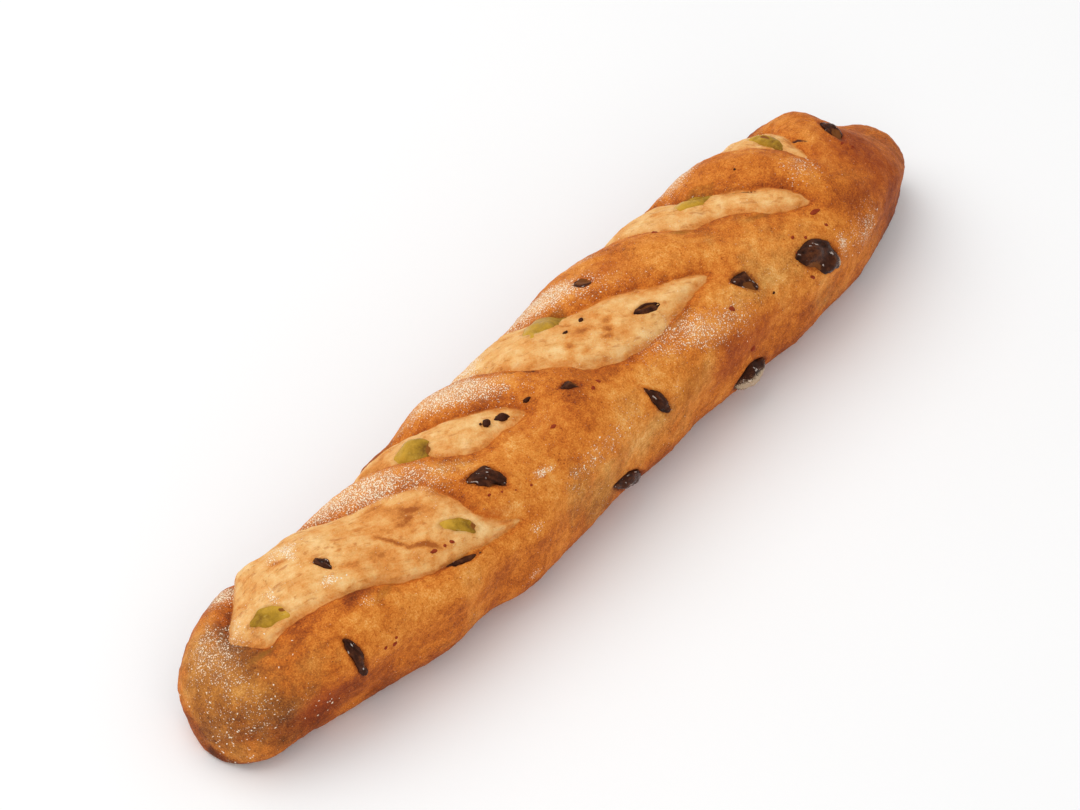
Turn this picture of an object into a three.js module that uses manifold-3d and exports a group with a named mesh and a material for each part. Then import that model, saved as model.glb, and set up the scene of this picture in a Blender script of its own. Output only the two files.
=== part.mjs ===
// Olive sourdough loaf: one long, hand-shaped loaf with five slanting slashes across its top, and
// pieces of black and green olive baked into its crust. Millimetres, +Z up. X runs along the loaf,
// Y across it, and the loaf stands on its flat underside at Z = 0. The origin is the middle of the
// underside. The bread is one closed solid. Each olive piece is a solid of its own, which sits in a
// pocket of the crust with a small clearance all round.

import * as THREE from "three";
import { mergeVertices } from "three/addons/utils/BufferGeometryUtils.js";
import Module from "manifold-3d";

// ---------------------------------------------------------------- driving dimensions

const HALF_LENGTH = 200;
const HALF_WIDTH = 38;
const CROWN_SHARE = 0.88; // height of the dome above the widest line, per half width
const WAIST_HEIGHT = 21.5; // height of the widest line in the middle of the loaf
const TIP_HEIGHT = 10; // height of both tips, which droop towards the table
const BELLY_DEPTH = 25; // reach of the section below its widest line, before the base cuts it flat
const DOME_POWER = 2.15; // superellipse powers: a round dome over a boxier belly
const BELLY_POWER = 2.6;

// Outline of the loaf: place along it, half width and sideways sway at each station.
const STATIONS = [
  [-1.0, 0, 4],
  [-0.99, 10.5, 4.2],
  [-0.965, 17.5, 4.5],
  [-0.9, 23.5, 4.5],
  [-0.77, 31, 5],
  [-0.66, 32.5, 2.5],
  [-0.55, 33, -0.5],
  [-0.4, 35, -1],
  [-0.3, 36.5, -2],
  [-0.12, 37.5, 2.5],
  [0.1, 36.5, 2],
  [0.25, 38, 2.5],
  [0.38, 37.5, 2.5],
  [0.53, 37.5, 2.5],
  [0.61, 38, 3],
  [0.7, 35, 2.5],
  [0.82, 29.5, 3.5],
  [0.915, 18.5, 1],
  [0.975, 9.5, 0.5],
  [1.0, 0, 0],
];

// Places on the crust are [mm along, degrees around]. Around is 0 on the ridge, positive on the
// front (-Y) side, and 90 at the widest line. A degree is this many millimetres of crust.
const CRUST_PER_DEGREE = 0.62;

// Each slash has torn open into a leaf of bare crumb. Outlines run round the opening.
const SLASHES = [
  // beside the blunt end, the widest opening
  [
    [-69, 54],
    [-76, 55.5],
    [-86, 53.5],
    [-96, 48.5],
    [-105, 46],
    [-119, 40],
    [-126, 32],
    [-137, 24.5],
    [-148, 20],
    [-158, 14.5],
    [-167, 11.5],
    [-171.5, 12.5],
    [-173.5, 8.5],
    [-176, -3],
    [-178.5, -17],
    [-177.5, -21],
    [-168.5, -36],
    [-158, -56],
    [-146, -75],
    [-126, -63],
    [-113, -33],
    [-102, -21],
    [-93, -10.5],
    [-86.5, -1],
    [-84.5, 14],
    [-82.5, 29],
    [-78, 44],
  ],
  // a narrow opening
  [
    [-35, 9],
    [-48, 6],
    [-62, 3],
    [-69, -3],
    [-75, -15],
    [-82, -29],
    [-88, -45],
    [-97, -73],
    [-80, -68],
    [-66, -50],
    [-58, -31],
    [-48, -15],
    [-39, -4],
  ],
  // the longest, over the middle
  [
    [64, 21],
    [52, 25],
    [38, 28],
    [22, 29],
    [8, 25],
    [-4, 16],
    [-11, 4],
    [-20, -8],
    [-25, -25],
    [-29, -45],
    [-36, -73],
    [-16, -70],
    [1, -55],
    [7, -35],
    [16, -18],
    [31, -9],
    [45, 5],
  ],
  // a slender one
  [
    [122, 29],
    [110, 23],
    [102, 11],
    [93, -2],
    [78, -8],
    [70, -24],
    [63, -41],
    [57, -66],
    [76, -68],
    [91, -55],
    [94, -35],
    [101, -17],
    [110, -1],
    [118, 13],
  ],
  // the shortest, beside the pointed end
  [
    [141, 5],
    [137, -9],
    [133, -23],
    [128, -37],
    [125, -58],
    [141, -65],
    [151, -48],
    [149, -25],
    [145, -9],
  ],
];
const OUTLINE_STEPS = 5; // straight steps between two points of a slash's outline

const CREASE_DEPTH = 2.4; // the notch where crust meets crumb
const CREASE_WIDTH = 5.5;
const CRUMB_SWELL = 3; // how far the crumb puffs up in the middle of an opening
const BAND_SWELL = 4.5; // how far the crust swells between two slashes
const SWELL_REACH = 12; // distance from a crease over which either swells
const RELIEF_MIDDLE = -12; // degrees around about which the slashes lie
const FADE_FROM = 66; // degrees from that line at which their relief starts to fade out
const FADE_TO = 100;

// Slow waves that make the shape hand-made: height, wavelength along, turns around, phase.
const WAVES = [
  [0.7, 118, 1, 0.4],
  [0.5, 67, 2, 2.1],
  [0.4, 41, 1, 4.0],
];

// Single rises and hollows: along, around, reach along, reach around in degrees, height.
const KNOBS = [
  [-153, -60, 9, 18, 2.9],
  [-190, 112, 10, 20, 2],
  [-152, 105, 14, 16, -2.4],
  [-77, -72, 10, 16, 2],
  [-77, 106, 10, 16, 2.4],
  [150, -52, 8, 20, -2.2],
  [167, -36, 6, 20, 2.8],
  [179, -16, 10, 32, -3.6],
  [194, -4, 7, 60, 6.5],
];

// Olive pieces: along, around, length, width, thickness, turn on the crust in degrees, and how far
// the piece stands proud of the crust.
const BLACK_OLIVES = [
  { along: -154.1, around: 61.5, size: [18, 5.4, 6], turn: 84, proud: 1.4 },
  { along: -138.9, around: 0.2, size: [10.5, 5, 4.5], turn: 73, proud: 0.8 },
  { along: -97.2, around: 50.5, size: [18, 2.6, 4], turn: 17, proud: 0.6 },
  { along: -72.1, around: 21.2, size: [17.5, 8, 7], turn: 44, proud: 1.8 },
  { along: -18.3, around: 18.7, size: [11, 4, 4.5], turn: 29, proud: 0.8 },
  { along: 32.6, around: 12.7, size: [16, 5, 4.5], turn: 21, proud: 0.9 },
  { along: 29.5, around: -27, size: [9, 7.5, 5], turn: 41, proud: 0.9 },
  { along: 7.8, around: 57.5, size: [15, 6.2, 5.5], turn: 67, proud: 1.4 },
  { along: -12, around: 97.5, size: [23, 8, 8], turn: 42, proud: 2.6 },
  { along: 62, around: 102, size: [20, 12, 10], turn: 4, proud: 4.2 },
  { along: 71.2, around: 39.6, size: [14, 8.2, 6], turn: 49, proud: 1.3 },
  { along: 106.5, around: 58, size: [25, 13.5, 9], turn: 38, proud: 2.2 },
  { along: 161.5, around: 1.5, size: [14.5, 6.5, 7], turn: 106, proud: 2 },
  { along: -118, around: -98, size: [15, 9, 8], turn: 30, proud: 1.8 },
  { along: -44, around: -102, size: [13, 8, 7], turn: -20, proud: 1.6 },
  { along: 22, around: -100, size: [17, 10, 8], turn: 50, proud: 2 },
  { along: 93, around: -104, size: [12, 7, 7], turn: 10, proud: 1.5 },
  { along: 146, around: -96, size: [14, 9, 7], turn: -35, proud: 1.8 },
];
const GREEN_OLIVES = [
  { along: -165.8, around: -2, size: [17.5, 9, 6], turn: 31, proud: 0.8 },
  { along: -92, around: 31, size: [17, 6.2, 6], turn: 42, proud: 0.8 },
  { along: -77, around: -25, size: [16, 12, 7], turn: 50, proud: 1 },
  { along: 4, around: -24, size: [24, 12.5, 6], turn: -2, proud: 0.8 },
  { along: 95, around: -24, size: [22, 11.5, 6], turn: 9, proud: 0.8 },
  { along: 138, around: -21.5, size: [17, 6.5, 6], turn: 91, proud: 0.8 },
  { along: -140, around: -86, size: [13, 8, 6], turn: -40, proud: 0.8 },
  { along: -22, around: -88, size: [14, 8, 6], turn: 48, proud: 0.8 },
];
const POCKET_CLEARANCE = 0.35;

// Fineness of the meshes.
const RINGS = 84;
const SPOKES = 36;
const OLIVE_SPOKES = 10;
const OLIVE_RINGS = 6;

// ---------------------------------------------------------------- materials

const material = (color, roughness) =>
  new THREE.MeshStandardMaterial({ color, roughness, metalness: 0 });
const CRUST = material(0xc07434, 0.8);
const BLACK_OLIVE = material(0x2a1a18, 0.35);
const GREEN_OLIVE = material(0x8f8a2a, 0.45);

// ---------------------------------------------------------------- outline of the loaf

// One cubic through each pair of neighbours, which passes through every point.
function splineValue(before, from, to, after, t) {
  const slope = to - before;
  const bend = 2 * before - 5 * from + 4 * to - after;
  const twist = 3 * from - before - 3 * to + after;
  return 0.5 * (2 * from + slope * t + bend * t * t + twist * t ** 3);
}

function alongSpline(points, position) {
  const last = points.length - 1;
  const index = Math.min(Math.floor(position), last - 1);
  const mirrored = (end, next) => end.map((value, k) => 2 * value - next[k]);
  const before = index > 0 ? points[index - 1] : mirrored(points[0], points[1]);
  const after = index + 2 <= last ? points[index + 2] : mirrored(points[last], points[last - 1]);
  const [from, to] = [points[index], points[index + 1]];
  return from.map((_, k) => splineValue(before[k], from[k], to[k], after[k], position - index));
}

// Stations evenly spaced along the outline, so that rings crowd together at the rounded ends.
function spacedStations(count) {
  const stations = STATIONS.map(([share, width, sway]) => [share * HALF_LENGTH, width, sway]);
  const steps = 2000;
  const samples = [];
  for (let i = 0; i <= steps; i += 1) {
    samples.push(alongSpline(stations, (i / steps) * (stations.length - 1)));
  }
  const run = [0];
  for (let i = 1; i <= steps; i += 1) {
    const [dx, dw] = [samples[i][0] - samples[i - 1][0], samples[i][1] - samples[i - 1][1]];
    run.push(run[i - 1] + Math.hypot(dx, dw));
  }
  const spaced = [];
  for (let ring = 0, i = 0; ring < count; ring += 1) {
    const wanted = (run[steps] * ring) / (count - 1);
    while (i < steps && run[i] < wanted) i += 1;
    spaced.push(samples[i]);
  }
  return spaced;
}

// ---------------------------------------------------------------- relief of the crust

const onCrust = ([along, around]) => new THREE.Vector2(along, around * CRUST_PER_DEGREE);
const SLASH_EDGES = SLASHES.map((outline) => {
  const flat = outline.map((place) => new THREE.Vector3(...onCrust(place), 0));
  const curve = new THREE.CatmullRomCurve3(flat, true, "centripetal");
  return curve.getPoints(outline.length * OUTLINE_STEPS).slice(0, -1);
});

// Distance from a place to the edge of the nearest opening, positive inside it.
function distanceIntoSlash(along, around) {
  const place = onCrust([along, around]);
  let deepest = -Infinity;
  for (const edge of SLASH_EDGES) {
    let nearest = Infinity;
    let inside = false;
    edge.forEach((from, i) => {
      const to = edge[(i + 1) % edge.length];
      const [dx, dy] = [to.x - from.x, to.y - from.y];
      const [px, py] = [place.x - from.x, place.y - from.y];
      const share = THREE.MathUtils.clamp((px * dx + py * dy) / (dx * dx + dy * dy), 0, 1);
      nearest = Math.min(nearest, Math.hypot(px - dx * share, py - dy * share));
      const crosses = from.y > place.y !== to.y > place.y;
      if (crosses && px < (dx * py) / dy) inside = !inside;
    });
    deepest = Math.max(deepest, inside ? nearest : -nearest);
  }
  return deepest;
}

function slashRelief(along, around) {
  const distance = distanceIntoSlash(along, around);
  const crease = -CREASE_DEPTH * Math.exp(-((distance / CREASE_WIDTH) ** 2));
  const risen = 1 - Math.exp(-Math.abs(distance) / SWELL_REACH);
  const swell = distance > 0 ? CRUMB_SWELL : BAND_SWELL;
  const fade = 1 - THREE.MathUtils.smoothstep(
    Math.abs(around - RELIEF_MIDDLE),
    FADE_FROM,
    FADE_TO,
  );
  return (crease + swell * risen) * fade;
}

function waveRelief(along, around) {
  const turn = THREE.MathUtils.degToRad(around);
  return WAVES.reduce(
    (sum, [height, length, turns, phase]) =>
      sum + height * Math.sin((2 * Math.PI * along) / length + turns * turn + phase),
    0,
  );
}

function knobRelief(along, around) {
  return KNOBS.reduce((sum, [middle, line, length, turn, height]) => {
    const away = ((along - middle) / length) ** 2 + ((around - line) / turn) ** 2;
    return sum + height * Math.exp(-away);
  }, 0);
}

// ---------------------------------------------------------------- surface of the bread

const power = (value, exponent) => Math.sign(value) * Math.abs(value) ** (2 / exponent);

function crustPoint([along, width, sway], around) {
  const halfWidth = Math.max(width, 0);
  const full = halfWidth / HALF_WIDTH;
  const turn = THREE.MathUtils.degToRad(around);
  const [side, rise] = [-Math.sin(turn), Math.cos(turn)];
  const exponent = rise > 0 ? DOME_POWER : BELLY_POWER;
  const reach = rise > 0 ? CROWN_SHARE * halfWidth : BELLY_DEPTH * Math.sqrt(full);
  const waist = THREE.MathUtils.lerp(TIP_HEIGHT, WAIST_HEIGHT, Math.min(full, 1));
  const waves = waveRelief(along, around) + knobRelief(along, around);
  const relief = (slashRelief(along, around) + waves) * Math.min(full * 1.5, 1);
  const y = sway + halfWidth * power(side, exponent) + relief * side;
  const z = waist + reach * power(rise, exponent) + relief * rise;
  return new THREE.Vector3(along, y, Math.max(z, 0));
}

function loafGeometry() {
  const stations = spacedStations(RINGS);
  const inner = stations.slice(1, -1);
  const points = [crustPoint(stations[0], 0)];
  for (const station of inner) {
    for (let spoke = 0; spoke < SPOKES; spoke += 1) {
      points.push(crustPoint(station, (360 * spoke) / SPOKES - 180));
    }
  }
  points.push(crustPoint(stations[RINGS - 1], 0));
  const farTip = points.length - 1;
  const at = (ring, spoke) => 1 + ring * SPOKES + (spoke % SPOKES);
  const faces = [];
  for (let spoke = 0; spoke < SPOKES; spoke += 1) {
    faces.push(0, at(0, spoke + 1), at(0, spoke));
    faces.push(farTip, at(inner.length - 1, spoke), at(inner.length - 1, spoke + 1));
    for (let ring = 0; ring < inner.length - 1; ring += 1) {
      const [a, b] = [at(ring, spoke), at(ring, spoke + 1)];
      const [c, d] = [at(ring + 1, spoke + 1), at(ring + 1, spoke)];
      faces.push(a, b, c, a, c, d);
    }
  }
  const geometry = new THREE.BufferGeometry().setFromPoints(points);
  geometry.setIndex(faces);
  return geometry;
}

// ---------------------------------------------------------------- olive pieces

// The crust's frame at a place: its point, and X along the loaf, Y up around it, Z outwards.
const FINE_STATIONS = spacedStations(401);
function crustFrame(along, around) {
  const index = FINE_STATIONS.findIndex((station) => station[0] >= along);
  const point = crustPoint(FINE_STATIONS[index], around);
  const forward = crustPoint(FINE_STATIONS[index + 2], around);
  forward.sub(crustPoint(FINE_STATIONS[index - 2], around)).normalize();
  const upward = crustPoint(FINE_STATIONS[index], around - 3);
  upward.sub(crustPoint(FINE_STATIONS[index], around + 3)).normalize();
  const outward = new THREE.Vector3().crossVectors(forward, upward).normalize();
  upward.crossVectors(outward, forward);
  const matrix = new THREE.Matrix4().makeBasis(forward, upward, outward);
  return { point, outward, turned: new THREE.Quaternion().setFromRotationMatrix(matrix) };
}

function oliveGeometry([length, width, thickness], grown = 0) {
  const geometry = new THREE.SphereGeometry(1, OLIVE_SPOKES, OLIVE_RINGS);
  geometry.rotateZ(Math.PI / 2); // poles at the ends of the olive
  return geometry.scale(length / 2 + grown, width / 2 + grown, thickness / 2 + grown);
}

function placeOlive(object, { along, around, size, turn, proud }) {
  const { point, outward, turned } = crustFrame(along, around);
  const spin = new THREE.Quaternion();
  spin.setFromAxisAngle(new THREE.Vector3(0, 0, 1), THREE.MathUtils.degToRad(-turn));
  object.position.copy(point).addScaledVector(outward, proud - size[2] / 2);
  object.quaternion.copy(turned).multiply(spin);
  object.updateMatrixWorld(true);
  return object;
}

function olivePiece(name, olive, finish) {
  const mesh = placeOlive(new THREE.Mesh(oliveGeometry(olive.size), finish), olive);
  mesh.name = name;
  return mesh;
}

// ---------------------------------------------------------------- bread with its pockets

const wasm = await Module();
wasm.setup();

function solidOf(geometry, matrix = new THREE.Matrix4()) {
  const bare = geometry.clone().applyMatrix4(matrix);
  bare.deleteAttribute("normal");
  bare.deleteAttribute("uv");
  const merged = mergeVertices(bare, 1e-4);
  const vertProperties = merged.attributes.position.array;
  const triVerts = new Uint32Array(merged.index.array);
  return new wasm.Manifold(new wasm.Mesh({ numProp: 3, vertProperties, triVerts }));
}

function geometryOf(solid) {
  const { vertProperties, triVerts } = solid.getMesh();
  const geometry = new THREE.BufferGeometry();
  geometry.setAttribute("position", new THREE.BufferAttribute(vertProperties, 3));
  geometry.setIndex(new THREE.BufferAttribute(triVerts, 1));
  geometry.computeVertexNormals();
  return geometry;
}

function pocketFor(olive) {
  const place = placeOlive(new THREE.Object3D(), olive);
  return solidOf(oliveGeometry(olive.size, POCKET_CLEARANCE), place.matrixWorld);
}

function bread() {
  let solid = solidOf(loafGeometry());
  for (const olive of [...BLACK_OLIVES, ...GREEN_OLIVES]) solid = solid.subtract(pocketFor(olive));
  const mesh = new THREE.Mesh(geometryOf(solid), CRUST);
  mesh.name = "loaf";
  return mesh;
}

// ---------------------------------------------------------------- the whole loaf

const group = new THREE.Group();
group.add(bread());
BLACK_OLIVES.forEach((olive, i) => {
  group.add(olivePiece(`black_olive_${i + 1}`, olive, BLACK_OLIVE));
});
GREEN_OLIVES.forEach((olive, i) => {
  group.add(olivePiece(`green_olive_${i + 1}`, olive, GREEN_OLIVE));
});

// The waves and the sway leave the shape a little off centre, so it is brought back to the origin.
const middle = new THREE.Box3().setFromObject(group).getCenter(new THREE.Vector3());
group.position.set(-middle.x, -middle.y, 0);

export default group;
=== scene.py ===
"""Olive sourdough loaf: a long, hand-shaped loaf with five slashes torn open across its top.

Pieces of black and green olive are baked into it, and flour lies on its crust. Lengths are in
millimetres up to the moment a mesh is made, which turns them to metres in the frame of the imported
model: X along the loaf, Y across it, Z up, with the loaf standing on Z = 0.
"""

from __future__ import annotations

import logging
import math
from dataclasses import dataclass
from enum import Enum
from itertools import product
from typing import Any, Sequence

import bpy
import numpy as np
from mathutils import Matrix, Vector


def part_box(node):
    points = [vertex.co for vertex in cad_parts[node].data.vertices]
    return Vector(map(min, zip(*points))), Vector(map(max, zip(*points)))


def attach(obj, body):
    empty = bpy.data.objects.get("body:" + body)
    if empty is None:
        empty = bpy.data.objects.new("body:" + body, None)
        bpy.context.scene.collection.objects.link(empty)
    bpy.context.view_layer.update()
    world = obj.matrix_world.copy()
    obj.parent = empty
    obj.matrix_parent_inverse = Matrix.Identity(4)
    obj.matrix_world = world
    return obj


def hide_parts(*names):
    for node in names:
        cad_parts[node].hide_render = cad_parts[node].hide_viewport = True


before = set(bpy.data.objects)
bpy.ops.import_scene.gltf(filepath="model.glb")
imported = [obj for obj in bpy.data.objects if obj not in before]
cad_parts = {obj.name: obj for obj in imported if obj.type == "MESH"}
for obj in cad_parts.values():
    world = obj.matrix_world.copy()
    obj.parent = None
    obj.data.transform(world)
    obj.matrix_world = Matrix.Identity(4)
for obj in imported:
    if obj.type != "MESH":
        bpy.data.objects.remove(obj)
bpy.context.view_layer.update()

LOG = logging.getLogger("loaf")
MM = 0.001
Place = tuple[float, float]  # millimetres along the loaf, degrees around it
Colour = tuple[int, int, int]  # red, green and blue from 0 to 255
Ramp = tuple[tuple[float, Colour], ...]  # colours, each with its place from 0 to 1


# ------------------------------------------------------------------------------ small tools


def linear(colour: Colour) -> tuple[float, float, float, float]:
    """Turn a screen colour into the linear colour that a shader wants.

    Args:
        colour: red, green and blue from 0 to 255.

    Returns:
        Linear red, green, blue and an alpha of 1.
    """
    shares = [c / 255 for c in colour]
    return (*[s / 12.92 if s <= 0.04045 else ((s + 0.055) / 1.055) ** 2.4 for s in shares], 1.0)


def smooth(value: np.ndarray, low: float, high: float) -> np.ndarray:
    """Rise smoothly from 0 at low to 1 at high."""
    share = np.clip((value - low) / (high - low), 0, 1)
    return share * share * (3 - 2 * share)


def bell(value: np.ndarray, width: float) -> np.ndarray:
    """A bell curve that is 1 at zero and falls off over width."""
    return np.exp(-((value / width) ** 2))


def signed_power(value: np.ndarray, exponent: float) -> np.ndarray:
    """Superellipse coordinate of a sine or cosine."""
    return np.sign(value) * np.abs(value) ** (2 / exponent)


class Noise:
    """Smooth random values over space, the same on every run."""

    SIDE = 32
    GAIN = 1.6  # brings the values to about -1 to 1

    def __init__(self, seed: int) -> None:
        """Draw the random slopes of the lattice.

        Args:
            seed: picks the pattern.
        """
        slopes = np.random.default_rng(seed).normal(size=(self.SIDE,) * 3 + (3,))
        self.slopes = slopes / np.linalg.norm(slopes, axis=-1, keepdims=True)

    def at(self, points: np.ndarray, cell: float | Sequence[float]) -> np.ndarray:
        """Values at some points.

        Args:
            points: one row of three coordinates for each point.
            cell: size of the pattern, the same all ways or for each axis.

        Returns:
            One value for each point, from about -1 to 1.
        """
        scaled = points / np.asarray(cell, float)
        base = np.floor(scaled).astype(int)
        part = scaled - base
        ease = part**3 * (part * (part * 6 - 15) + 10)
        total = np.zeros(len(points))
        for corner in product((0, 1), repeat=3):
            weight = np.prod(np.where(corner, ease, 1 - ease), axis=1)
            x, y, z = ((base + corner) % self.SIDE).T
            total += weight * np.einsum("ij,ij->i", self.slopes[x, y, z], part - corner)
        return total * self.GAIN


def mesh_object(
    name: str, points: np.ndarray, faces: list, values: dict[str, np.ndarray]
) -> bpy.types.Object:
    """Make a smooth mesh object in metres at the origin.

    Args:
        name: the piece's name.
        points: corners in millimetres.
        faces: corner numbers of each face, counter-clockwise from outside.
        values: attributes of the corners by name, numbers or vectors.

    Returns:
        The object, linked to the scene.
    """
    mesh = bpy.data.meshes.new(name)
    mesh.from_pydata((points * MM).tolist(), [], faces)
    for key, value in values.items():
        single = value.ndim == 1
        made = mesh.attributes.new(key, "FLOAT" if single else "FLOAT_VECTOR", "POINT")
        made.data.foreach_set("value" if single else "vector", value.astype(np.float32).ravel())
    mesh.shade_smooth()
    piece = bpy.data.objects.new(name, mesh)
    bpy.context.scene.collection.objects.link(piece)
    return piece


def ball(rings: int, spokes: int) -> np.ndarray:
    """Corners of a ball of radius 1, in the order that tube_faces wants.

    Args:
        rings: number of rings, without the two end points on the X axis.
        spokes: corners in a ring.

    Returns:
        One row of three coordinates for each corner.
    """
    lean = np.pi * np.arange(1, rings + 1) / (rings + 1)
    turn = 2 * np.pi * np.arange(spokes) / spokes
    leans, turns = (a.ravel() for a in np.meshgrid(lean, turn, indexing="ij"))
    reach = np.sin(leans)
    unit = np.stack([-np.cos(leans), reach * np.cos(turns), reach * np.sin(turns)], axis=1)
    return np.vstack([[-1, 0, 0], unit, [1, 0, 0]])


def tube_faces(rings: int, spokes: int) -> list[tuple[int, ...]]:
    """Faces of a closed form with a point at each end and rings of corners between.

    Args:
        rings: number of rings, without the end points.
        spokes: corners in a ring.

    Returns:
        Corner numbers, for corners in the order end point, rings, end point.
    """
    ring, spoke = np.meshgrid(np.arange(rings - 1), np.arange(spokes), indexing="ij")
    a = 1 + ring * spokes + spoke
    b = 1 + ring * spokes + (spoke + 1) % spokes
    quads = np.stack([a, b, b + spokes, a + spokes], axis=-1).reshape(-1, 4)
    around = np.arange(spokes)
    after = (around + 1) % spokes
    near = np.stack([np.zeros(spokes, int), 1 + after, 1 + around], axis=-1)
    last = 1 + (rings - 1) * spokes
    far = np.stack([np.full(spokes, last + spokes), last + around, last + after], axis=-1)
    return [*map(tuple, near.tolist()), *map(tuple, quads.tolist()), *map(tuple, far.tolist())]


# ------------------------------------------------------------------------------ shader building


class Shader:
    """One material while its nodes are being put together."""

    def __init__(self, name: str) -> None:
        """Start an empty material.

        Args:
            name: the material's name.
        """
        self.material = bpy.data.materials.new(name)
        self.material.use_nodes = True
        self.nodes = self.material.node_tree.nodes
        self.links = self.material.node_tree.links
        self.nodes.clear()

    def put(self, socket: bpy.types.NodeSocket, value: Any) -> None:
        """Set an input to a plain value, or link it to an output."""
        if isinstance(value, bpy.types.NodeSocket):
            self.links.new(value, socket)
        else:
            socket.default_value = value

    def math(self, operation: str, *values: Any) -> bpy.types.NodeSocket:
        """A sum on numbers.

        Args:
            operation: name of the sum, such as MULTIPLY.
            values: numbers or outputs.

        Returns:
            The answer's output.
        """
        node = self.nodes.new("ShaderNodeMath")
        node.operation = operation
        for socket, value in zip(node.inputs, values):
            self.put(socket, value)
        return node.outputs[0]

    def total(self, base: Any, *parts: tuple[Any, float]) -> Any:
        """Add patterns to a number, each measured from its middle value of a half.

        Args:
            base: the number to start from.
            parts: a pattern and its strength, each.

        Returns:
            The sum's output.
        """
        answer = self.math("ADD", base, -0.5 * sum(strength for _, strength in parts))
        for pattern, strength in parts:
            answer = self.math("MULTIPLY_ADD", pattern, strength, answer)
        return answer

    def value(self, name: str) -> bpy.types.NodeSocket:
        """The number that the mesh holds under a name."""
        node = self.nodes.new("ShaderNodeAttribute")
        node.attribute_name = name
        return node.outputs["Fac"]

    def vector(self, name: str) -> bpy.types.NodeSocket:
        """The vector that the mesh holds under a name."""
        return self.value(name).node.outputs["Vector"]

    def place(self) -> bpy.types.NodeSocket:
        """The point on the object, in metres."""
        return self.nodes.new("ShaderNodeTexCoord").outputs["Object"]

    def noise(
        self,
        scale: float,
        detail: float = 3.0,
        roughness: float = 0.55,
        vector: bpy.types.NodeSocket | None = None,
        stretch: Sequence[float] = (1.0, 1.0, 1.0),
    ) -> bpy.types.NodeSocket:
        """A cloudy pattern from 0 to 1.

        Args:
            scale: clouds in a unit of length.
            detail: how many finer layers it has.
            roughness: strength of the finer layers.
            vector: where it is read, or None for the point on the object, in metres.
            stretch: factors on the three coordinates.

        Returns:
            The pattern's output.
        """
        mapping = self.nodes.new("ShaderNodeMapping")
        self.put(mapping.inputs["Vector"], vector or self.place())
        mapping.inputs["Scale"].default_value = stretch
        node = self.nodes.new("ShaderNodeTexNoise")
        self.put(node.inputs["Vector"], mapping.outputs[0])
        node.inputs["Scale"].default_value = scale
        node.inputs["Detail"].default_value = detail
        node.inputs["Roughness"].default_value = roughness
        return node.outputs[0]

    def dots(self, scale: float, share: Any, radius: float) -> bpy.types.NodeSocket:
        """Round dots strewn at random, 1 in a dot and 0 elsewhere.

        Args:
            scale: cells in a metre, each of which may hold a dot.
            share: how many of the cells hold one, from 0 to 1.
            radius: radius of the largest dots, as a share of a cell.

        Returns:
            The pattern's output.
        """
        node = self.nodes.new("ShaderNodeTexVoronoi")
        self.put(node.inputs["Vector"], self.place())
        node.inputs["Scale"].default_value = scale
        drawn = self.nodes.new("ShaderNodeSeparateColor")
        self.put(drawn.inputs[0], node.outputs["Color"])
        held = self.math("LESS_THAN", drawn.outputs[0], share)
        size = self.math("MULTIPLY_ADD", drawn.outputs[1], radius * 0.6, radius * 0.4)
        inside = self.math("SUBTRACT", size, node.outputs["Distance"])
        return self.math("MULTIPLY", held, self.step(inside, 0, 0.12))

    def step(self, value: Any, low: float, high: float, top: float = 1.0) -> bpy.types.NodeSocket:
        """Rise smoothly from 0 at low to top at high."""
        node = self.nodes.new("ShaderNodeMapRange")
        node.interpolation_type = "SMOOTHSTEP"
        self.put(node.inputs["Value"], value)
        node.inputs["From Min"].default_value = low
        node.inputs["From Max"].default_value = high
        node.inputs["To Max"].default_value = top
        return node.outputs[0]

    def ramp(self, value: Any, stops: Ramp) -> bpy.types.NodeSocket:
        """Colours along a number.

        Args:
            value: the number.
            stops: where each colour lies, from 0 to 1, and the colour.

        Returns:
            The colour's output.
        """
        node = self.nodes.new("ShaderNodeValToRGB")
        elements = node.color_ramp.elements
        while len(elements) < len(stops):
            elements.new(0.5)
        for element, (position, colour) in zip(elements, stops):
            element.position = position
            element.color = linear(colour)
        self.put(node.inputs[0], value)
        return node.outputs[0]

    def mix(self, share: Any, first: Any, second: Any) -> bpy.types.NodeSocket:
        """Lay a second colour over a first one.

        Args:
            share: how much of the second shows, from 0 to 1.
            first: a colour or an output.
            second: a colour or an output.

        Returns:
            The mixed colour's output.
        """
        node = self.nodes.new("ShaderNodeMix")
        node.data_type = "RGBA"
        self.put(node.inputs[0], share)
        for socket, colour in ((node.inputs[6], first), (node.inputs[7], second)):
            self.put(socket, linear(colour) if isinstance(colour, tuple) else colour)
        return node.outputs[2]

    def finish(
        self, colour: Any, roughness: Any, height: Any, depth: float, **sockets: Any
    ) -> bpy.types.Material:
        """Join the surface up.

        Args:
            colour: base colour.
            roughness: roughness of the surface.
            height: fine relief from 0 to 1.
            depth: height of that relief in millimetres.
            sockets: other inputs of the surface, which are the same all over.

        Returns:
            The finished material.
        """
        surface = self.nodes.new("ShaderNodeBsdfPrincipled")
        self.put(surface.inputs["Base Color"], colour)
        self.put(surface.inputs["Roughness"], roughness)
        bump = self.nodes.new("ShaderNodeBump")
        bump.inputs["Distance"].default_value = depth * MM
        self.put(bump.inputs["Height"], height)
        self.put(surface.inputs["Normal"], bump.outputs[0])
        for name, value in sockets.items():
            surface.inputs[name.replace("_", " ")].default_value = value
        output = self.nodes.new("ShaderNodeOutputMaterial")
        self.put(output.inputs["Surface"], surface.outputs[0])
        return self.material


# ------------------------------------------------------------------------------ finishes

DULL = 0.08  # strength of the mirror-like glint on bread and olives


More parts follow.
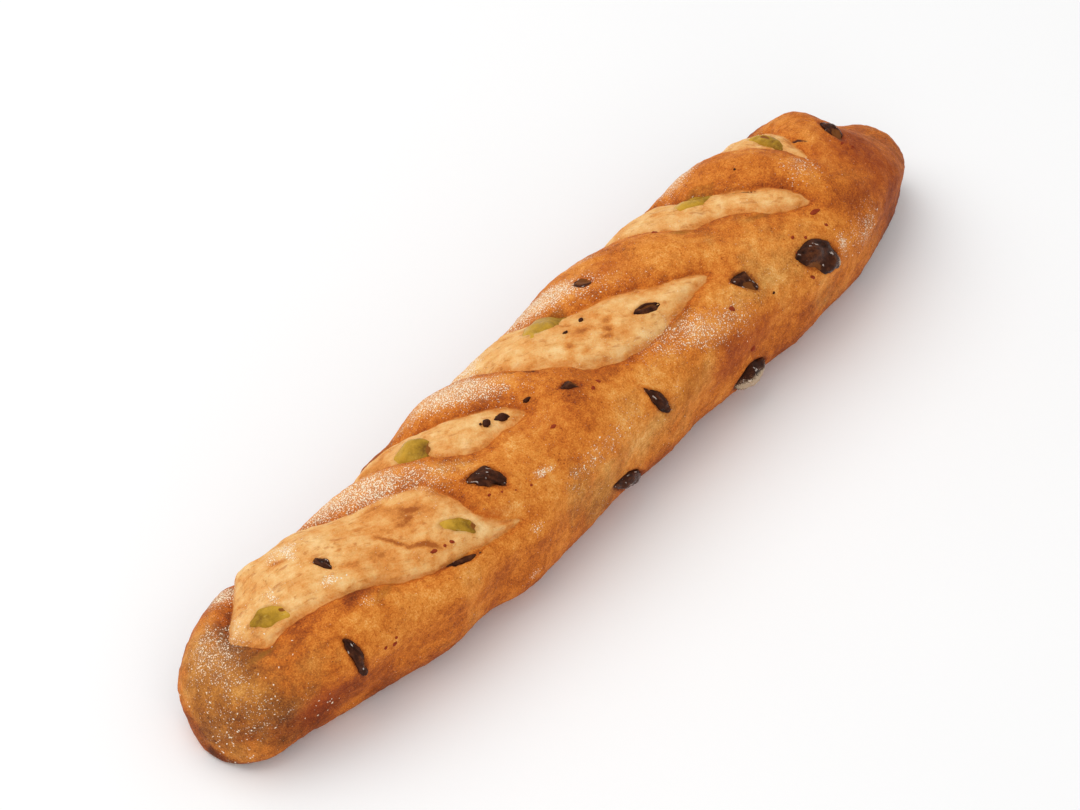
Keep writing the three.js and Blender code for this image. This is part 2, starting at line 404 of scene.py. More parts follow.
@dataclass(frozen=True)
class BreadFinish:
    """Baked crust, the bare crumb in the slashes, and the flour that dusts both."""

    crust: Ramp = (
        (0.0, (246, 190, 114)), (0.22, (233, 149, 62)), (0.45, (208, 115, 38)),
        (0.68, (164, 79, 28)), (0.85, (126, 57, 23)), (1.0, (91, 43, 21)),
    )
    tan: Ramp = (
        (0.0, (240, 200, 136)), (0.22, (225, 164, 87)), (0.45, (198, 128, 55)),
        (0.68, (157, 92, 40)), (0.85, (119, 66, 30)), (1.0, (85, 47, 24)),
    )
    crumb: Ramp = (
        (0.0, (252, 212, 150)), (0.36, (240, 180, 108)), (0.64, (226, 146, 70)),
        (1.0, (172, 94, 38)),
    )
    blush: Colour = (172, 66, 26)
    stain_and_shade: Colour = (142, 98, 34)
    haze: Colour = (238, 194, 142)
    flour: Colour = (255, 240, 212)
    tear: Colour = (190, 108, 46)
    # Painted shade in the slits where the crust has lifted.
    crack: Colour = (74, 44, 36)

    def material(self) -> bpy.types.Material:
        """Build the material from the attributes that the bread carries."""
        s = Shader("crust_and_crumb")
        clouds, mottle, grain = s.noise(70, 4, 0.58), s.noise(300, 4, 0.6), s.noise(1500, 3, 0.8)
        drift = s.noise(45, 4, 0.6)
        pits = s.dots(1000, s.step(clouds, 0.4, 0.7, 0.3), 0.42)
        depth = s.total(s.value("crumb"), (mottle, 1.6), (grain, 0.8))
        # A darker line along the slash edges: partly the crust browning there and partly painted
        # crease shade.
        rim = s.math("MULTIPLY", s.step(depth, -2.6, -0.2), s.step(depth, 0.5, -0.2))
        bake_and_shade = s.total(s.value("bake_and_shade"), (clouds, 0.8), (mottle, 0.55), (grain, 1.0))
        bake_and_shade = s.math("MULTIPLY_ADD", rim, 0.16, bake_and_shade)
        # Small dark dots: painted shade in the crust's pores.
        bake_and_shade = s.math("MULTIPLY_ADD", pits, 0.2, bake_and_shade)
        tan = s.step(s.total(s.value("tan"), (drift, 1.6), (mottle, 0.5)), 0.2, 0.8)
        crust = s.mix(tan, s.ramp(bake_and_shade, self.crust), s.ramp(bake_and_shade, self.tan))
        crust = s.mix(s.total(s.value("blush"), (mottle, 0.5)), crust, self.blush)

        pull = s.vector("grain")
        streaks = s.noise(1, 4, 0.6, pull, (0.09, 0.42, 0.1))
        threads = s.noise(1, 3, 0.6, pull, (0.3, 1.5, 0.3))
        blotch = s.noise(150, 4, 0.55)
        patterns = (streaks, 0.5), (blotch, 1.2), (threads, 0.2), (grain, 0.7)
        crumb = s.ramp(s.total(s.value("toast_and_shade"), *patterns), self.crumb)
        tears = s.step(s.noise(1, 3, 0.6, pull, (0.12, 0.3, 0.2)), 0.57, 0.72, 0.6)
        wisps = s.noise(1, 3, 0.5, pull, (0.03, 0.12, 0.1))
        wisps = s.step(s.math("ABSOLUTE", s.math("SUBTRACT", wisps, 0.5)), 0.014, 0.004)
        wisps = s.math("MULTIPLY", wisps, s.step(mottle, 0.48, 0.6, 0.5))
        crumb = s.mix(s.math("MAXIMUM", tears, wisps), crumb, self.tear)
        colour = s.mix(s.step(depth, -0.35, 0.35), crust, crumb)
        # Olive stains, and thin painted crease shade along the slash edges.
        colour = s.mix(s.total(s.value("stain_and_shade"), (mottle, 0.4)), colour, self.stain_and_shade)

        dust = s.total(s.value("flour"), (drift, 0.8), (mottle, 0.8))
        haze = s.step(s.total(dust, (grain, 0.8)), 0.1, 1.1, 0.42)
        fine = s.math("MULTIPLY_ADD", s.math("MINIMUM", dust, 0.62), 0.3, s.noise(1900, 2, 0.5))
        fine = s.step(fine, 0.69, 0.74)
        spray = s.math("MAXIMUM", fine, s.dots(1200, s.step(dust, 0.15, 1.0, 0.3), 0.4))
        floured = s.math("MAXIMUM", haze, spray)
        colour = s.mix(s.math("MULTIPLY", spray, 0.9), s.mix(haze, colour, self.haze), self.flour)
        # The slits are painted dark: painted shade.
        colour = s.mix(s.step(s.value("crack"), 0.25, 0.75), colour, self.crack)
        roughness = s.total(0.7, (mottle, 0.25), (floured, 0.2))
        relief = s.total(0.5, (mottle, 0.9), (grain, 0.4), (pits, -0.1))
        return s.finish(
            colour, roughness, relief, 0.55, Subsurface_Weight=0.05, Subsurface_Scale=0.003,
            Specular_IOR_Level=DULL,
        )


@dataclass(frozen=True)
class OliveFinish:
    """Skin of an olive, its paler flesh where it is cut, the flour on it, and painted glints."""

    name: str
    skin: Ramp
    flesh: Colour
    painted_glint: Colour
    painted_glint_share: float
    roughness: float
    flour: Colour = (234, 206, 172)
    tint: tuple[float, float, float, float] = (1.0, 0.8, 0.66, 1.0)

    def material(self) -> bpy.types.Material:
        """Build the material from the attributes that each olive piece carries."""
        s = Shader(self.name)
        mottle, grain = s.noise(420, 4, 0.6), s.noise(1700, 3, 0.65)
        skin = s.ramp(s.total(s.value("tone"), (mottle, 1.1), (grain, 0.6)), self.skin)
        # Pale streaks and flecks on the upward skin: a painted highlight.
        painted_glint = s.step(s.total(s.value("painted_sheen"), (grain, 1.4)), 0.5, 0.8, self.painted_glint_share)
        colour = s.mix(painted_glint, skin, self.painted_glint)
        flesh = s.step(s.total(s.value("flesh"), (mottle, 0.8), (grain, 0.3)), 0.35, 0.65)
        colour = s.mix(flesh, colour, self.flesh)
        dust = s.step(s.total(s.value("flour"), (grain, 1.2), (mottle, 0.6)), 0.3, 0.75, 0.6)
        colour = s.mix(dust, colour, self.flour)
        roughness = s.total(self.roughness, (grain, 0.4), (flesh, 0.2), (dust, 0.5))
        relief = s.total(0.5, (grain, 0.6), (mottle, 0.8))
        return s.finish(
            colour, roughness, relief, 0.25, Specular_IOR_Level=DULL, Specular_Tint=self.tint
        )


BLACK = OliveFinish(
    "black_olive_skin",
    skin=((0.0, (36, 17, 10)), (0.5, (68, 35, 22)), (1.0, (108, 62, 36))),
    flesh=(118, 68, 30),
    painted_glint=(216, 202, 192),
    painted_glint_share=0.7,
    roughness=0.36,
)
GREEN = OliveFinish(
    "green_olive_flesh",
    skin=((0.0, (116, 78, 27)), (0.45, (166, 125, 36)), (1.0, (206, 158, 54))),
    flesh=(140, 82, 30),
    painted_glint=(226, 200, 120),
    painted_glint_share=0.2,
    roughness=0.5,
)


@dataclass(frozen=True)
class PlainFinish:
    """One mottled colour, for flour grains, flecks and the floor."""

    name: str
    dark: Colour
    pale: Colour
    scale: float
    roughness: float
    shine: float = DULL

    def material(self) -> bpy.types.Material:
        """Build the material."""
        s = Shader(self.name)
        mottle = s.noise(self.scale, 3)
        colour = s.ramp(s.total(0.5, (mottle, 1.6)), ((0.0, self.dark), (1.0, self.pale)))
        roughness = s.total(self.roughness, (mottle, 0.15))
        return s.finish(colour, roughness, mottle, 0.1, Specular_IOR_Level=self.shine)


PALE_FLOOR = PlainFinish("pale_floor", (252, 252, 252), (255, 255, 255), 3.0, 0.9, shine=0.5)
FLOUR_GRAINS = PlainFinish("flour_grains", (240, 224, 196), (254, 244, 224), 900, 0.9)
TOASTED_FLECKS = PlainFinish("toasted_flecks", (120, 38, 18), (168, 70, 34), 700, 0.6)


# ------------------------------------------------------------------------------ form of the loaf


@dataclass(frozen=True)
class Slash:
    """One slash that has torn open into a leaf of bare crumb."""

    outline: tuple[Place, ...]
    steps: int = 5

    def edge(self, arc: float) -> np.ndarray:
        """Closed smooth edge through the outline's points.

        Args:
            arc: millimetres of crust in a degree around.

        Returns:
            Points along and around, in millimetres.
        """
        points = np.array(self.outline, float) * (1, arc)
        before, after = np.roll(points, 1, axis=0), np.roll(points, -1, axis=0)
        beyond = np.roll(points, -2, axis=0)
        lead, span, trail = (
            np.sqrt(np.linalg.norm(b - a, axis=1))[:, None]
            for a, b in ((before, points), (points, after), (after, beyond))
        )
        step = (after - points) / span
        leave = (points - before) / lead - (after - before) / (lead + span) + step
        arrive = step - (beyond - points) / (span + trail) + (beyond - after) / trail
        leave, arrive = leave * span, arrive * span
        shares = np.arange(self.steps) / self.steps
        curve = [
            points
            + leave * t
            + (3 * (after - points) - 2 * leave - arrive) * t**2
            + (2 * (points - after) + leave + arrive) * t**3
            for t in shares
        ]
        return np.stack(curve, axis=1).reshape(-1, 2)

    def grain(self, arc: float) -> tuple[np.ndarray, np.ndarray]:
        """Middle of the opening and the way it runs.

        Args:
            arc: millimetres of crust in a degree around.

        Returns:
            The middle, and a unit vector towards the front.
        """
        edge = self.edge(arc)
        middle = edge.mean(axis=0)
        way = np.linalg.svd(edge - middle)[2][0]
        return middle, way * np.sign(way[1])


def depth_inside(edge: np.ndarray, places: np.ndarray) -> np.ndarray:
    """Distance from places to a closed edge, positive inside it.

    Args:
        edge: points of the edge.
        places: points to measure from.

    Returns:
        One distance for each place.
    """
    nearest = np.full(len(places), np.inf)
    inside = np.zeros(len(places), bool)
    for start, end in zip(edge, np.roll(edge, -1, axis=0)):
        run = end - start
        offset = places - start
        share = np.clip(offset @ run / (run @ run), 0, 1)
        nearest = np.minimum(nearest, np.hypot(*(offset - share[:, None] * run).T))
        crosses = (start[1] > places[:, 1]) != (end[1] > places[:, 1])
        if crosses.any():
            inside ^= crosses & (offset[:, 0] < run[0] * offset[:, 1] / run[1])
    return np.where(inside, nearest, -nearest)


@dataclass(frozen=True)
class Patch:
    """A soft patch on the crust: its middle, half sizes, turn towards the front, and strength."""

    along: float
    around: float
    length: float
    width: float
    turn: float
    strength: float

    def on(self, places: np.ndarray, arc: float) -> np.ndarray:
        """How strongly the patch shows at places given in millimetres."""
        offset = places - (self.along, self.around * arc)
        turn = math.radians(self.turn)
        run = offset @ (math.cos(turn), math.sin(turn)) / self.length
        side = offset @ (-math.sin(turn), math.cos(turn)) / self.width
        return self.strength * np.exp(-((run**2 + side**2) ** 1.25))


def patches(*rows: tuple[float, ...]) -> tuple[Patch, ...]:
    """Make a soft patch from each row of numbers, which are in the order of its fields."""
    return tuple(Patch(*row) for row in rows)


@dataclass(frozen=True)
class Crack:
    """A slit where the crust has lifted, painted dark as its shade: its line and width."""

    line: tuple[Place, ...]
    width: float

    def on(self, places: np.ndarray, arc: float) -> np.ndarray:
        """How strongly the slit shows at places given in millimetres."""
        points = np.array(self.line, float) * (1, arc)
        shown = np.zeros(len(places))
        length = len(points) - 1
        for i, (start, end) in enumerate(zip(points, points[1:])):
            run = end - start
            offset = places - start
            share = np.clip(offset @ run / (run @ run), 0, 1)
            away = np.hypot(*(offset - share[:, None] * run).T)
            taper = np.sin(np.pi * np.clip((i + share) / length, 0.06, 0.94)) ** 0.6
            shown = np.maximum(shown, bell(away, self.width * taper))
        return shown


@dataclass(frozen=True)
class LoafForm:
    """The loaf's shape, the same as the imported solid's with a sharper crease."""

    half_length: float = 200.0
    half_width: float = 38.0
    crown_share: float = 0.88
    waist_height: float = 21.5
    tip_height: float = 10.0
    belly_depth: float = 25.0
    dome_power: float = 2.15
    belly_power: float = 2.6
    arc: float = 0.62  # millimetres of crust in a degree around
    crease_depth: float = 2.4
    crease_width: float = 3.2
    crease_ease: float = 0.5  # share of the crease that is left over the top and the front
    crumb_swell: float = 2.2
    band_swell: float = 4.5
    swell_reach: float = 12.0
    relief_middle: float = -12.0
    fade: tuple[float, float] = (66.0, 100.0)
    waves: tuple[tuple[float, float, float, float], ...] = (
        (0.7, 118, 1, 0.4), (0.5, 67, 2, 2.1), (0.4, 41, 1, 4.0),
    )
    stations: tuple[tuple[float, float, float], ...] = (
        (-1.0, 0, 4), (-0.99, 10.5, 4.2), (-0.965, 17.5, 4.5), (-0.9, 23.5, 4.5), (-0.77, 31, 5),
        (-0.66, 32.5, 2.5), (-0.55, 33, -0.5), (-0.4, 35, -1), (-0.3, 36.5, -2), (-0.12, 37.5, 2.5),
        (0.1, 36.5, 2), (0.25, 38, 2.5), (0.38, 37.5, 2.5), (0.53, 37.5, 2.5), (0.61, 38, 3),
        (0.7, 35, 2.5), (0.82, 29.5, 3.5), (0.915, 18.5, 1), (0.975, 9.5, 0.5), (1.0, 0, 0),
    )
    knobs: tuple[tuple[float, float, float, float, float], ...] = (
        (-153, -60, 9, 18, 2.9), (-190, 112, 10, 20, 2), (-152, 105, 14, 16, -2.4),
        (-77, -72, 10, 16, 2), (-77, 106, 10, 16, 2.4), (150, -52, 8, 20, -2.2),
        (167, -36, 6, 20, 2.8), (179, -16, 10, 32, -3.6), (194, -4, 7, 60, 6.5),
    )
    slashes: tuple[Slash, ...] = (
        Slash(
            (
                (-69, 54), (-76, 55.5), (-86, 53.5), (-96, 48.5), (-105, 46), (-119, 40),
                (-126, 32), (-137, 24.5), (-148, 20), (-158, 14.5), (-167, 11.5), (-171.5, 12.5),
                (-173.5, 8.5), (-176, -3), (-178.5, -17), (-177.5, -21), (-168.5, -36), (-158, -56),
                (-146, -75), (-126, -63), (-113, -33), (-102, -21), (-93, -10.5), (-86.5, -1),
                (-84.5, 14), (-82.5, 29), (-78, 44),
            )
        ),
        Slash(
            (
                (-35, 9), (-48, 6), (-62, 3), (-69, -3), (-75, -15), (-82, -29), (-88, -45),
                (-97, -73), (-80, -68), (-66, -50), (-58, -31), (-48, -15), (-39, -4),
            )
        ),
        Slash(
            (
                (64, 21), (52, 25), (38, 28), (22, 29), (8, 25), (-4, 16), (-11, 4), (-20, -8),
                (-25, -25), (-29, -45), (-36, -73), (-16, -70), (1, -55), (7, -35), (16, -18),
                (31, -9), (45, 5),
            )
        ),
        Slash(
            (
                (122, 29), (110, 23), (102, 11), (93, -2), (78, -8), (70, -24), (63, -41),
                (57, -66), (76, -68), (91, -55), (94, -35), (101, -17), (110, -1), (118, 13),
            )
        ),
        Slash(
            (
                (141, 5), (137, -9), (133, -23), (128, -37), (125, -58), (141, -65), (151, -48),
                (149, -25), (145, -9),
            )
        ),
    )

    def outline(self, count: int) -> np.ndarray:
        """Stations evenly spaced along the outline, so that they crowd together at both ends.

        Args:
            count: how many stations.

        Returns:
            One row for each: place along, half width and sway.
        """
        points = np.array(self.stations) * (self.half_length, 1, 1)
        padded = np.vstack([2 * points[0] - points[1], points, 2 * points[-1] - points[-2]])
        position = np.linspace(0, len(points) - 1, 2001)
        index = np.minimum(position.astype(int), len(points) - 2)
        t = (position - index)[:, None]
        before, start, end, after = (padded[index + k] for k in range(4))
        samples = 0.5 * (
            2 * start
            + (end - before) * t
            + (2 * before - 5 * start + 4 * end - after) * t**2
            + (3 * start - before - 3 * end + after) * t**3
        )
        run = np.hypot(*np.diff(samples[:, :2], axis=0).T)
        run = np.concatenate([[0], np.cumsum(run)])
        wanted = np.linspace(0, run[-1], count)
        return np.stack([np.interp(wanted, run, column) for column in samples.T], axis=1)

    def depth(self, places: np.ndarray) -> tuple[np.ndarray, np.ndarray]:
        """Depth into the nearest slash and the way its torn crumb runs.

        Args:
            places: millimetres along and around.

        Returns:
            Distances, positive inside a slash, and coordinates along and across that slash.
        """
        deepest = np.full(len(places), -np.inf)
        grain = np.zeros((len(places), 2))
        for slash in self.slashes:
            own = depth_inside(slash.edge(self.arc), places)
            middle, way = slash.grain(self.arc)
            offset = places - middle
            mine = np.stack([offset @ way, offset @ (-way[1], way[0])], axis=1)
            grain = np.where((own > deepest)[:, None], mine, grain)
            deepest = np.maximum(deepest, own)
        return deepest, grain

    def relief(self, along: np.ndarray, around: np.ndarray, depth: np.ndarray) -> np.ndarray:
        """Height of the creases, the puffed crumb, the swollen bands and the slow waves."""
        ease = 1 - self.crease_ease * smooth(around, -55, -20)
        crease = -self.crease_depth * ease * bell(depth, self.crease_width)
        risen = 1 - np.exp(-np.abs(depth) / self.swell_reach)
        swell = np.where(depth > 0, self.crumb_swell, self.band_swell)
        fade = 1 - smooth(np.abs(around - self.relief_middle), *self.fade)
        turn = np.radians(around)
        waves = sum(
            height * np.sin(2 * np.pi * along / length + turns * turn + phase)
            for height, length, turns, phase in self.waves
        )
        knobs = sum(
            height * np.exp(-(((along - middle) / length) ** 2) - ((around - line) / reach) ** 2)
            for middle, line, length, reach, height in self.knobs
        )
        return (crease + swell * risen) * fade + waves + knobs

    def surface(self, stations: np.ndarray, around: np.ndarray, depth: np.ndarray) -> np.ndarray:
        """Points of the crust.

        Args:
            stations: rows of place along, half width and sway.
            around: degrees around, for each row.
            depth: depth into the nearest slash, for each row.

        Returns:
            Points in millimetres about the loaf's own middle line.
        """
        along, width, sway = stations.T
        width = np.maximum(width, 0)
        full = width / self.half_width
        turn = np.radians(around)
        side, rise = -np.sin(turn), np.cos(turn)
        power = np.where(rise > 0, self.dome_power, self.belly_power)
        reach = np.where(rise > 0, self.crown_share * width, self.belly_depth * np.sqrt(full))
        waist = self.tip_height + (self.waist_height - self.tip_height) * np.minimum(full, 1)
        relief = self.relief(along, around, depth) * np.minimum(full * 1.5, 1)
        y = sway + width * signed_power(side, power) + relief * side
        z = waist + reach * signed_power(rise, power) + relief * rise
        return np.stack([along, y, np.maximum(z, 0)], axis=1)

    def frame_at(self, along: float, around: float) -> tuple[np.ndarray, np.ndarray]:
        """The crust's frame at a place.

        Args:
            along: millimetres along.
            around: degrees around.

        Returns:
            The point, and rows that point forward along the loaf, up over it and outwards.
        """
        fine = self.outline(401)
        i = int(np.argmax(fine[:, 0] >= along))
        rows = np.array([fine[i], fine[i + 2], fine[i - 2], fine[i], fine[i]])
        turns = np.array([around, around, around, around - 3, around + 3], float)
        depth, _ = self.depth(np.stack([rows[:, 0], turns * self.arc], axis=1))
        point, ahead, behind, above, below = self.surface(rows, turns, depth)
        forward = (ahead - behind) / np.linalg.norm(ahead - behind)
        outward = np.cross(forward, above - below)
        outward /= np.linalg.norm(outward)
        return point, np.array([forward, np.cross(outward, forward), outward])


# ------------------------------------------------------------------------------ olive pieces


class Cut(Enum):
    """How an olive piece was torn or cut before it was baked in."""

    TORN = "a wrinkled piece with its skin on"
    LEAF = "a smooth slice that lies almost flush"


LEAF_POWER = 2.7  # how square a smooth slice of olive is
Spots = tuple[tuple[float, float, float, float], ...]  # middles and half sizes on a piece


@dataclass(frozen=True)
class Olive:
    """One olive piece: where it lies, its size, its turn on the crust and how proud it stands."""

    node: str
    cut: Cut
    place: Place
    size: tuple[float, float, float]
    turn: float
    proud: float
    bend: float = 0.0  # how far its middle bows sideways, as a share of its width
    taper: tuple[float, float] = (0.0, 0.0)  # how pointed its two ends are
    flesh: Spots = ()  # dents that bare the flesh
    flour: Spots = ()
    ragged: float = 0.16  # strength of its lumps
    dark_end: float = 1.0  # which end of a smooth slice is the darker, 1 or -1
    wrinkle_height: float = 0.75
    rings: int = 38
    spokes: int = 44

    def axes(self, form: LoafForm) -> tuple[np.ndarray, np.ndarray]:
        """Middle of the piece, and rows along its length, across it and outwards."""
        point, (forward, upward, outward) = form.frame_at(*self.place)
        turn = math.radians(self.turn)
        length = math.cos(turn) * forward - math.sin(turn) * upward
        across = math.sin(turn) * forward + math.cos(turn) * upward
        centre = point + outward * (self.proud - self.size[2] / 2)
        return centre, np.array([length, across, outward])

    def bow(self, run: np.ndarray) -> np.ndarray:
        """Sideways bow in millimetres, at a share of the half length."""
        return self.bend * self.size[1] * (0.5 - run**2)

    def spread(self, run: np.ndarray) -> np.ndarray:
        """Thickness along the piece, where its pointed ends draw in."""
        start, end = self.taper
        return 1 - start * smooth(-run, 0.0, 1.15) - end * smooth(run, 0.0, 1.15)

    def patch(self, spots: Spots, run: np.ndarray, side: np.ndarray) -> np.ndarray:
        """Sum of soft spots, each with its middle and half sizes as shares of the piece."""
        total = np.zeros(len(run))
        for along, across, length, width in spots:
            away = ((run - along) / length) ** 2 + ((side - across) / width) ** 2
            total += np.exp(-(away**1.5))
        return np.clip(total, 0, 1)

    def build(self, form: LoafForm, shift: np.ndarray, number: int) -> bpy.types.Object:
        """Make the piece's mesh.

        Args:
            form: the loaf that it lies in.
            shift: from the loaf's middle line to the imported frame.
            number: sets its wrinkles apart from its neighbours'.

        Returns:
            The piece.
        """
        centre, axes = self.axes(form)
        unit = ball(self.rings, self.spokes)
        if self.cut is Cut.LEAF:
            unit /= (np.abs(unit) ** LEAF_POWER).sum(axis=1, keepdims=True) ** (1 / LEAF_POWER)
        run, half = unit[:, 0], np.array(self.size) / 2
        draw = self.spread(run)[:, None] * (0, 1, 1) + (1, 0, 0)
        body = unit * half * draw
        seed = Noise(40 + number)
        lumps = seed.at(body + 9, max(2.6, half[1] * 0.8))
        wrinkles = -np.abs(seed.at(body + 31, (5.5, 1.3, 1.3)))
        skin = self.cut is Cut.TORN
        pores, cut_depth = (0.07, 0.42) if skin else (0.04, 0.12)
        rise = lumps * half[1] * self.ragged + (wrinkles * self.wrinkle_height + 0.2) * skin
        rise += seed.at(body + 57, 0.7) * pores
        normal = unit / half
        normal /= np.linalg.norm(normal, axis=1, keepdims=True)
        body += normal * rise[:, None]
        bare = self.patch(self.flesh, run, unit[:, 1]) * smooth(unit[:, 2], -0.2, 0.3)
        body[:, 2] -= bare * half[2] * cut_depth
        body[:, 1] += self.bow(run)
        dusted = self.patch(self.flour, run, unit[:, 1])
        # Darker in the wrinkles and lighter towards the outward top: painted shade and light, over
        # random lumps.
        tone = np.clip(0.42 + lumps * 0.25 + wrinkles * 0.8 + 0.25 * unit[:, 2], 0, 1)
        # Streaks on the outward top of the piece, where the painted highlight goes.
        painted_sheen = smooth(seed.at(body + 83, (5.0, 0.9, 0.9)), 0.3, 0.7) * smooth(unit[:, 2], 0.0, 0.5)
        if not skin:
            tone = 0.6 + lumps * 0.3 - 0.45 * run * self.dark_end
        return mesh_object(
            f"{self.node}_piece",
            centre + shift + body @ axes,
            tube_faces(self.rings, self.spokes),
            {"flesh": bare, "flour": dusted, "tone": tone, "painted_sheen": painted_sheen},
        )


def pieces(kind: str, cut: Cut, *rows: tuple) -> tuple[Olive, ...]:
    """Numbered olive pieces of one kind.

    Args:
        kind: black or green.
        cut: how they were torn or cut.
        rows: a row for each piece, in the order of its fields from its place on.

    Returns:
        The pieces.
    """
    return tuple(Olive(f"{kind}_olive_{n}", cut, *row) for n, row in enumerate(rows, 1))


# ------------------------------------------------------------------------------ the bread


@dataclass
class Bread:
    """The baked loaf itself, with its torn slashes, its creases and the dents round its olives."""

    form: LoafForm
    olives: tuple[Olive, ...]
    rings: int = 500
    spokes: int = 196
    sparse_base: float = 0.62  # how much wider apart the lines of corners are under the loaf
    crack_depth: float = 1.1
    socket_depth: float = 1.1
    socket_rim: float = 0.3
    slice_share: float = 0.45  # how deep the smooth slices press in, against the torn pieces
    lip_height: float = 0.4
    blisters: float = 0.9
    pores: float = 1.5
    brown: float = 0.36  # how brown the crust is all over, and below how much browner in places
    brown_low: float = 0.22
    brown_side: float = 0.1
    brown_near: float = 0.22
    brown_far: float = 0.2
    # Painted shade on the crust just outside each slash edge.
    painted_lip_shade: float = 0.14
    brown_back: float = 0.18
    toasted: float = 0.34
    toasted_edge: float = 0.25
    floured_base: float = 0.45
    bake_and_shade: tuple[Patch, ...] = ()
    blush: tuple[Patch, ...] = ()
    flour: tuple[Patch, ...] = ()
    stain_and_shade: tuple[Patch, ...] = ()
    tan: tuple[Patch, ...] = ()
    toast_and_shade: tuple[Patch, ...] = ()
    clumps: tuple[Patch, ...] = ()
    cracks: tuple[Crack, ...] = ()

    def lines(self) -> np.ndarray:
        """Degrees around of each line of corners, closer together over the top."""
        fine = np.linspace(-180, 180, 1441)
        density = 1 - self.sparse_base * smooth(np.abs(fine), 100, 128)
        run = np.concatenate([[0], np.cumsum((density[1:] + density[:-1]) / 2)])
        return np.interp(np.arange(self.spokes) / self.spokes * run[-1], run, fine)

    def sum_of(self, patches: Sequence[Patch | Crack], places: np.ndarray) -> np.ndarray:
        """Sum of patches at places."""
        return sum((patch.on(places, self.form.arc) for patch in patches), np.zeros(len(places)))

    def skin(self, points: np.ndarray, depth: np.ndarray, grain: np.ndarray) -> np.ndarray:
        """Fine relief of crust and crumb in millimetres.

        Args:
            points: points of the crust.
            depth: depth into the nearest slash.
            grain: coordinates along and across that slash.

        Returns:
            One height for each point.
        """
        coarse, middle, pores = Noise(1), Noise(2), Noise(3)
        crust = 0.3 * coarse.at(points, 9) + 0.2 * middle.at(points, 3.4)
        crust += 0.12 * middle.at(points, 1.7)
        crust += self.blisters * np.maximum(coarse.at(points + 50, 4.6) - 0.42, 0)
        flow = np.column_stack([grain, depth * 0.3])
        crumb = 0.5 * middle.at(flow, (15, 3.0, 4)) + 0.3 * pores.at(flow, (6, 1.7, 3))
        holes = self.pores * np.maximum(pores.at(points, 2.7) - 0.36, 0)
        crumb += 0.35 * coarse.at(points, 7) - holes
        lip = self.lip_height * bell(depth + 1.7, 1.3) - 0.5 * bell(depth, 0.75)
        return crust + (crumb - crust) * smooth(depth, -0.4, 0.8) + lip

    def dents(self, points: np.ndarray) -> tuple[np.ndarray, np.ndarray, np.ndarray]:
        """Dents in which the olive pieces sit.

        Args:
            points: points of the crust, about the loaf's own middle line.

        Returns:
            A height in millimetres, a painted shade round the black pieces and a tint round the
            green ones, both from 0 to 1, for each point.
        """
        height, shade, tint = np.zeros((3, len(points)))
        for olive in self.olives:
            centre, axes = olive.axes(self.form)
            local = (points - centre) @ axes.T
            near = np.abs(local[:, 2]) < olive.size[2] * 0.8 + 2
            run = local[:, 0] / (olive.size[0] / 2)
            flat = LEAF_POWER if olive.cut is Cut.LEAF else 2.0
            cover = (1 - (1 - 2 * olive.proud / olive.size[2]) ** flat) ** (1 / flat)
            wide = olive.size[1] / 2 * np.maximum(olive.spread(np.clip(run, -1, 1)), 0.2)
            side = (local[:, 1] - olive.bow(np.clip(run, -1, 1))) / wide
            away = np.hypot(run, side) / cover
            gap = (away - 1) * cover * olive.size[1] / 2
            firm = self.slice_share if olive.cut is Cut.LEAF else 1.0
            sunk = -self.socket_depth * (1 - smooth(gap, -1.0, 0.5))
            sunk += self.socket_rim * bell(gap - 1.6, 1.1)
            height += np.where(near, sunk * firm, 0)
            rim = np.where(near, bell(np.maximum(gap - 0.1, 0), 0.8), 0)
            if olive.cut is Cut.LEAF:
                tint = np.maximum(tint, rim)
            else:
                shade = np.maximum(shade, rim)
        return height, shade, tint

    def build(self, shift: np.ndarray) -> bpy.types.Object:
        """Make the bread's mesh and the attributes that its finish reads.

        Args:
            shift: from the loaf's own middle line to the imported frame.

        Returns:
            The bread.
        """
        stations = self.form.outline(self.rings)
        lines = self.lines()
        rows = np.repeat(stations[1:-1], self.spokes, axis=0)
        around = np.tile(lines, self.rings - 2)
        rows = np.vstack([stations[0], rows, stations[-1]])
        around = np.concatenate([[0], around, [0]])
        places = np.column_stack([rows[:, 0], around * self.form.arc])
        depth, grain = self.form.depth(places)
        wander = np.column_stack([places, np.zeros(len(places))])
        ragged = depth + 0.7 * Noise(5).at(wander, 8) + 0.4 * Noise(6).at(wander, 2.6)
        points = self.form.surface(rows, around, ragged)

        grid = points[1:-1].reshape(self.rings - 2, self.spokes, 3)
        forward = np.gradient(grid, axis=0)
        sideways = np.roll(grid, -1, axis=1) - np.roll(grid, 1, axis=1)
        normals = np.cross(sideways, forward).reshape(-1, 3)
        normals /= np.maximum(np.linalg.norm(normals, axis=1, keepdims=True), 1e-9)
        normals = np.vstack([[-1, 0, 0], normals, [1, 0, 0]])

        # socket is the painted shade round the black olive pieces.
        dent, socket, tint = self.dents(points)
        crack = self.sum_of(self.cracks, places)
        rise = self.skin(points, ragged, grain) + dent - self.crack_depth * np.clip(crack, 0, 1)
        under = smooth(4.0 - points[:, 2], 0, 3)
        ends = smooth(rows[:, 1], 0, 9)
        points = points + normals * (rise * (1 - 0.7 * under) * ends)[:, None]
        pits = np.maximum(Noise(8).at(wander, 5), 0) * 0.5
        pits += 0.15 * np.maximum(Noise(9).at(wander, 2), 0)
        points[:, 2] = np.maximum(points[:, 2], 0) + pits * smooth(0.5 - points[:, 2], 0, 0.5)

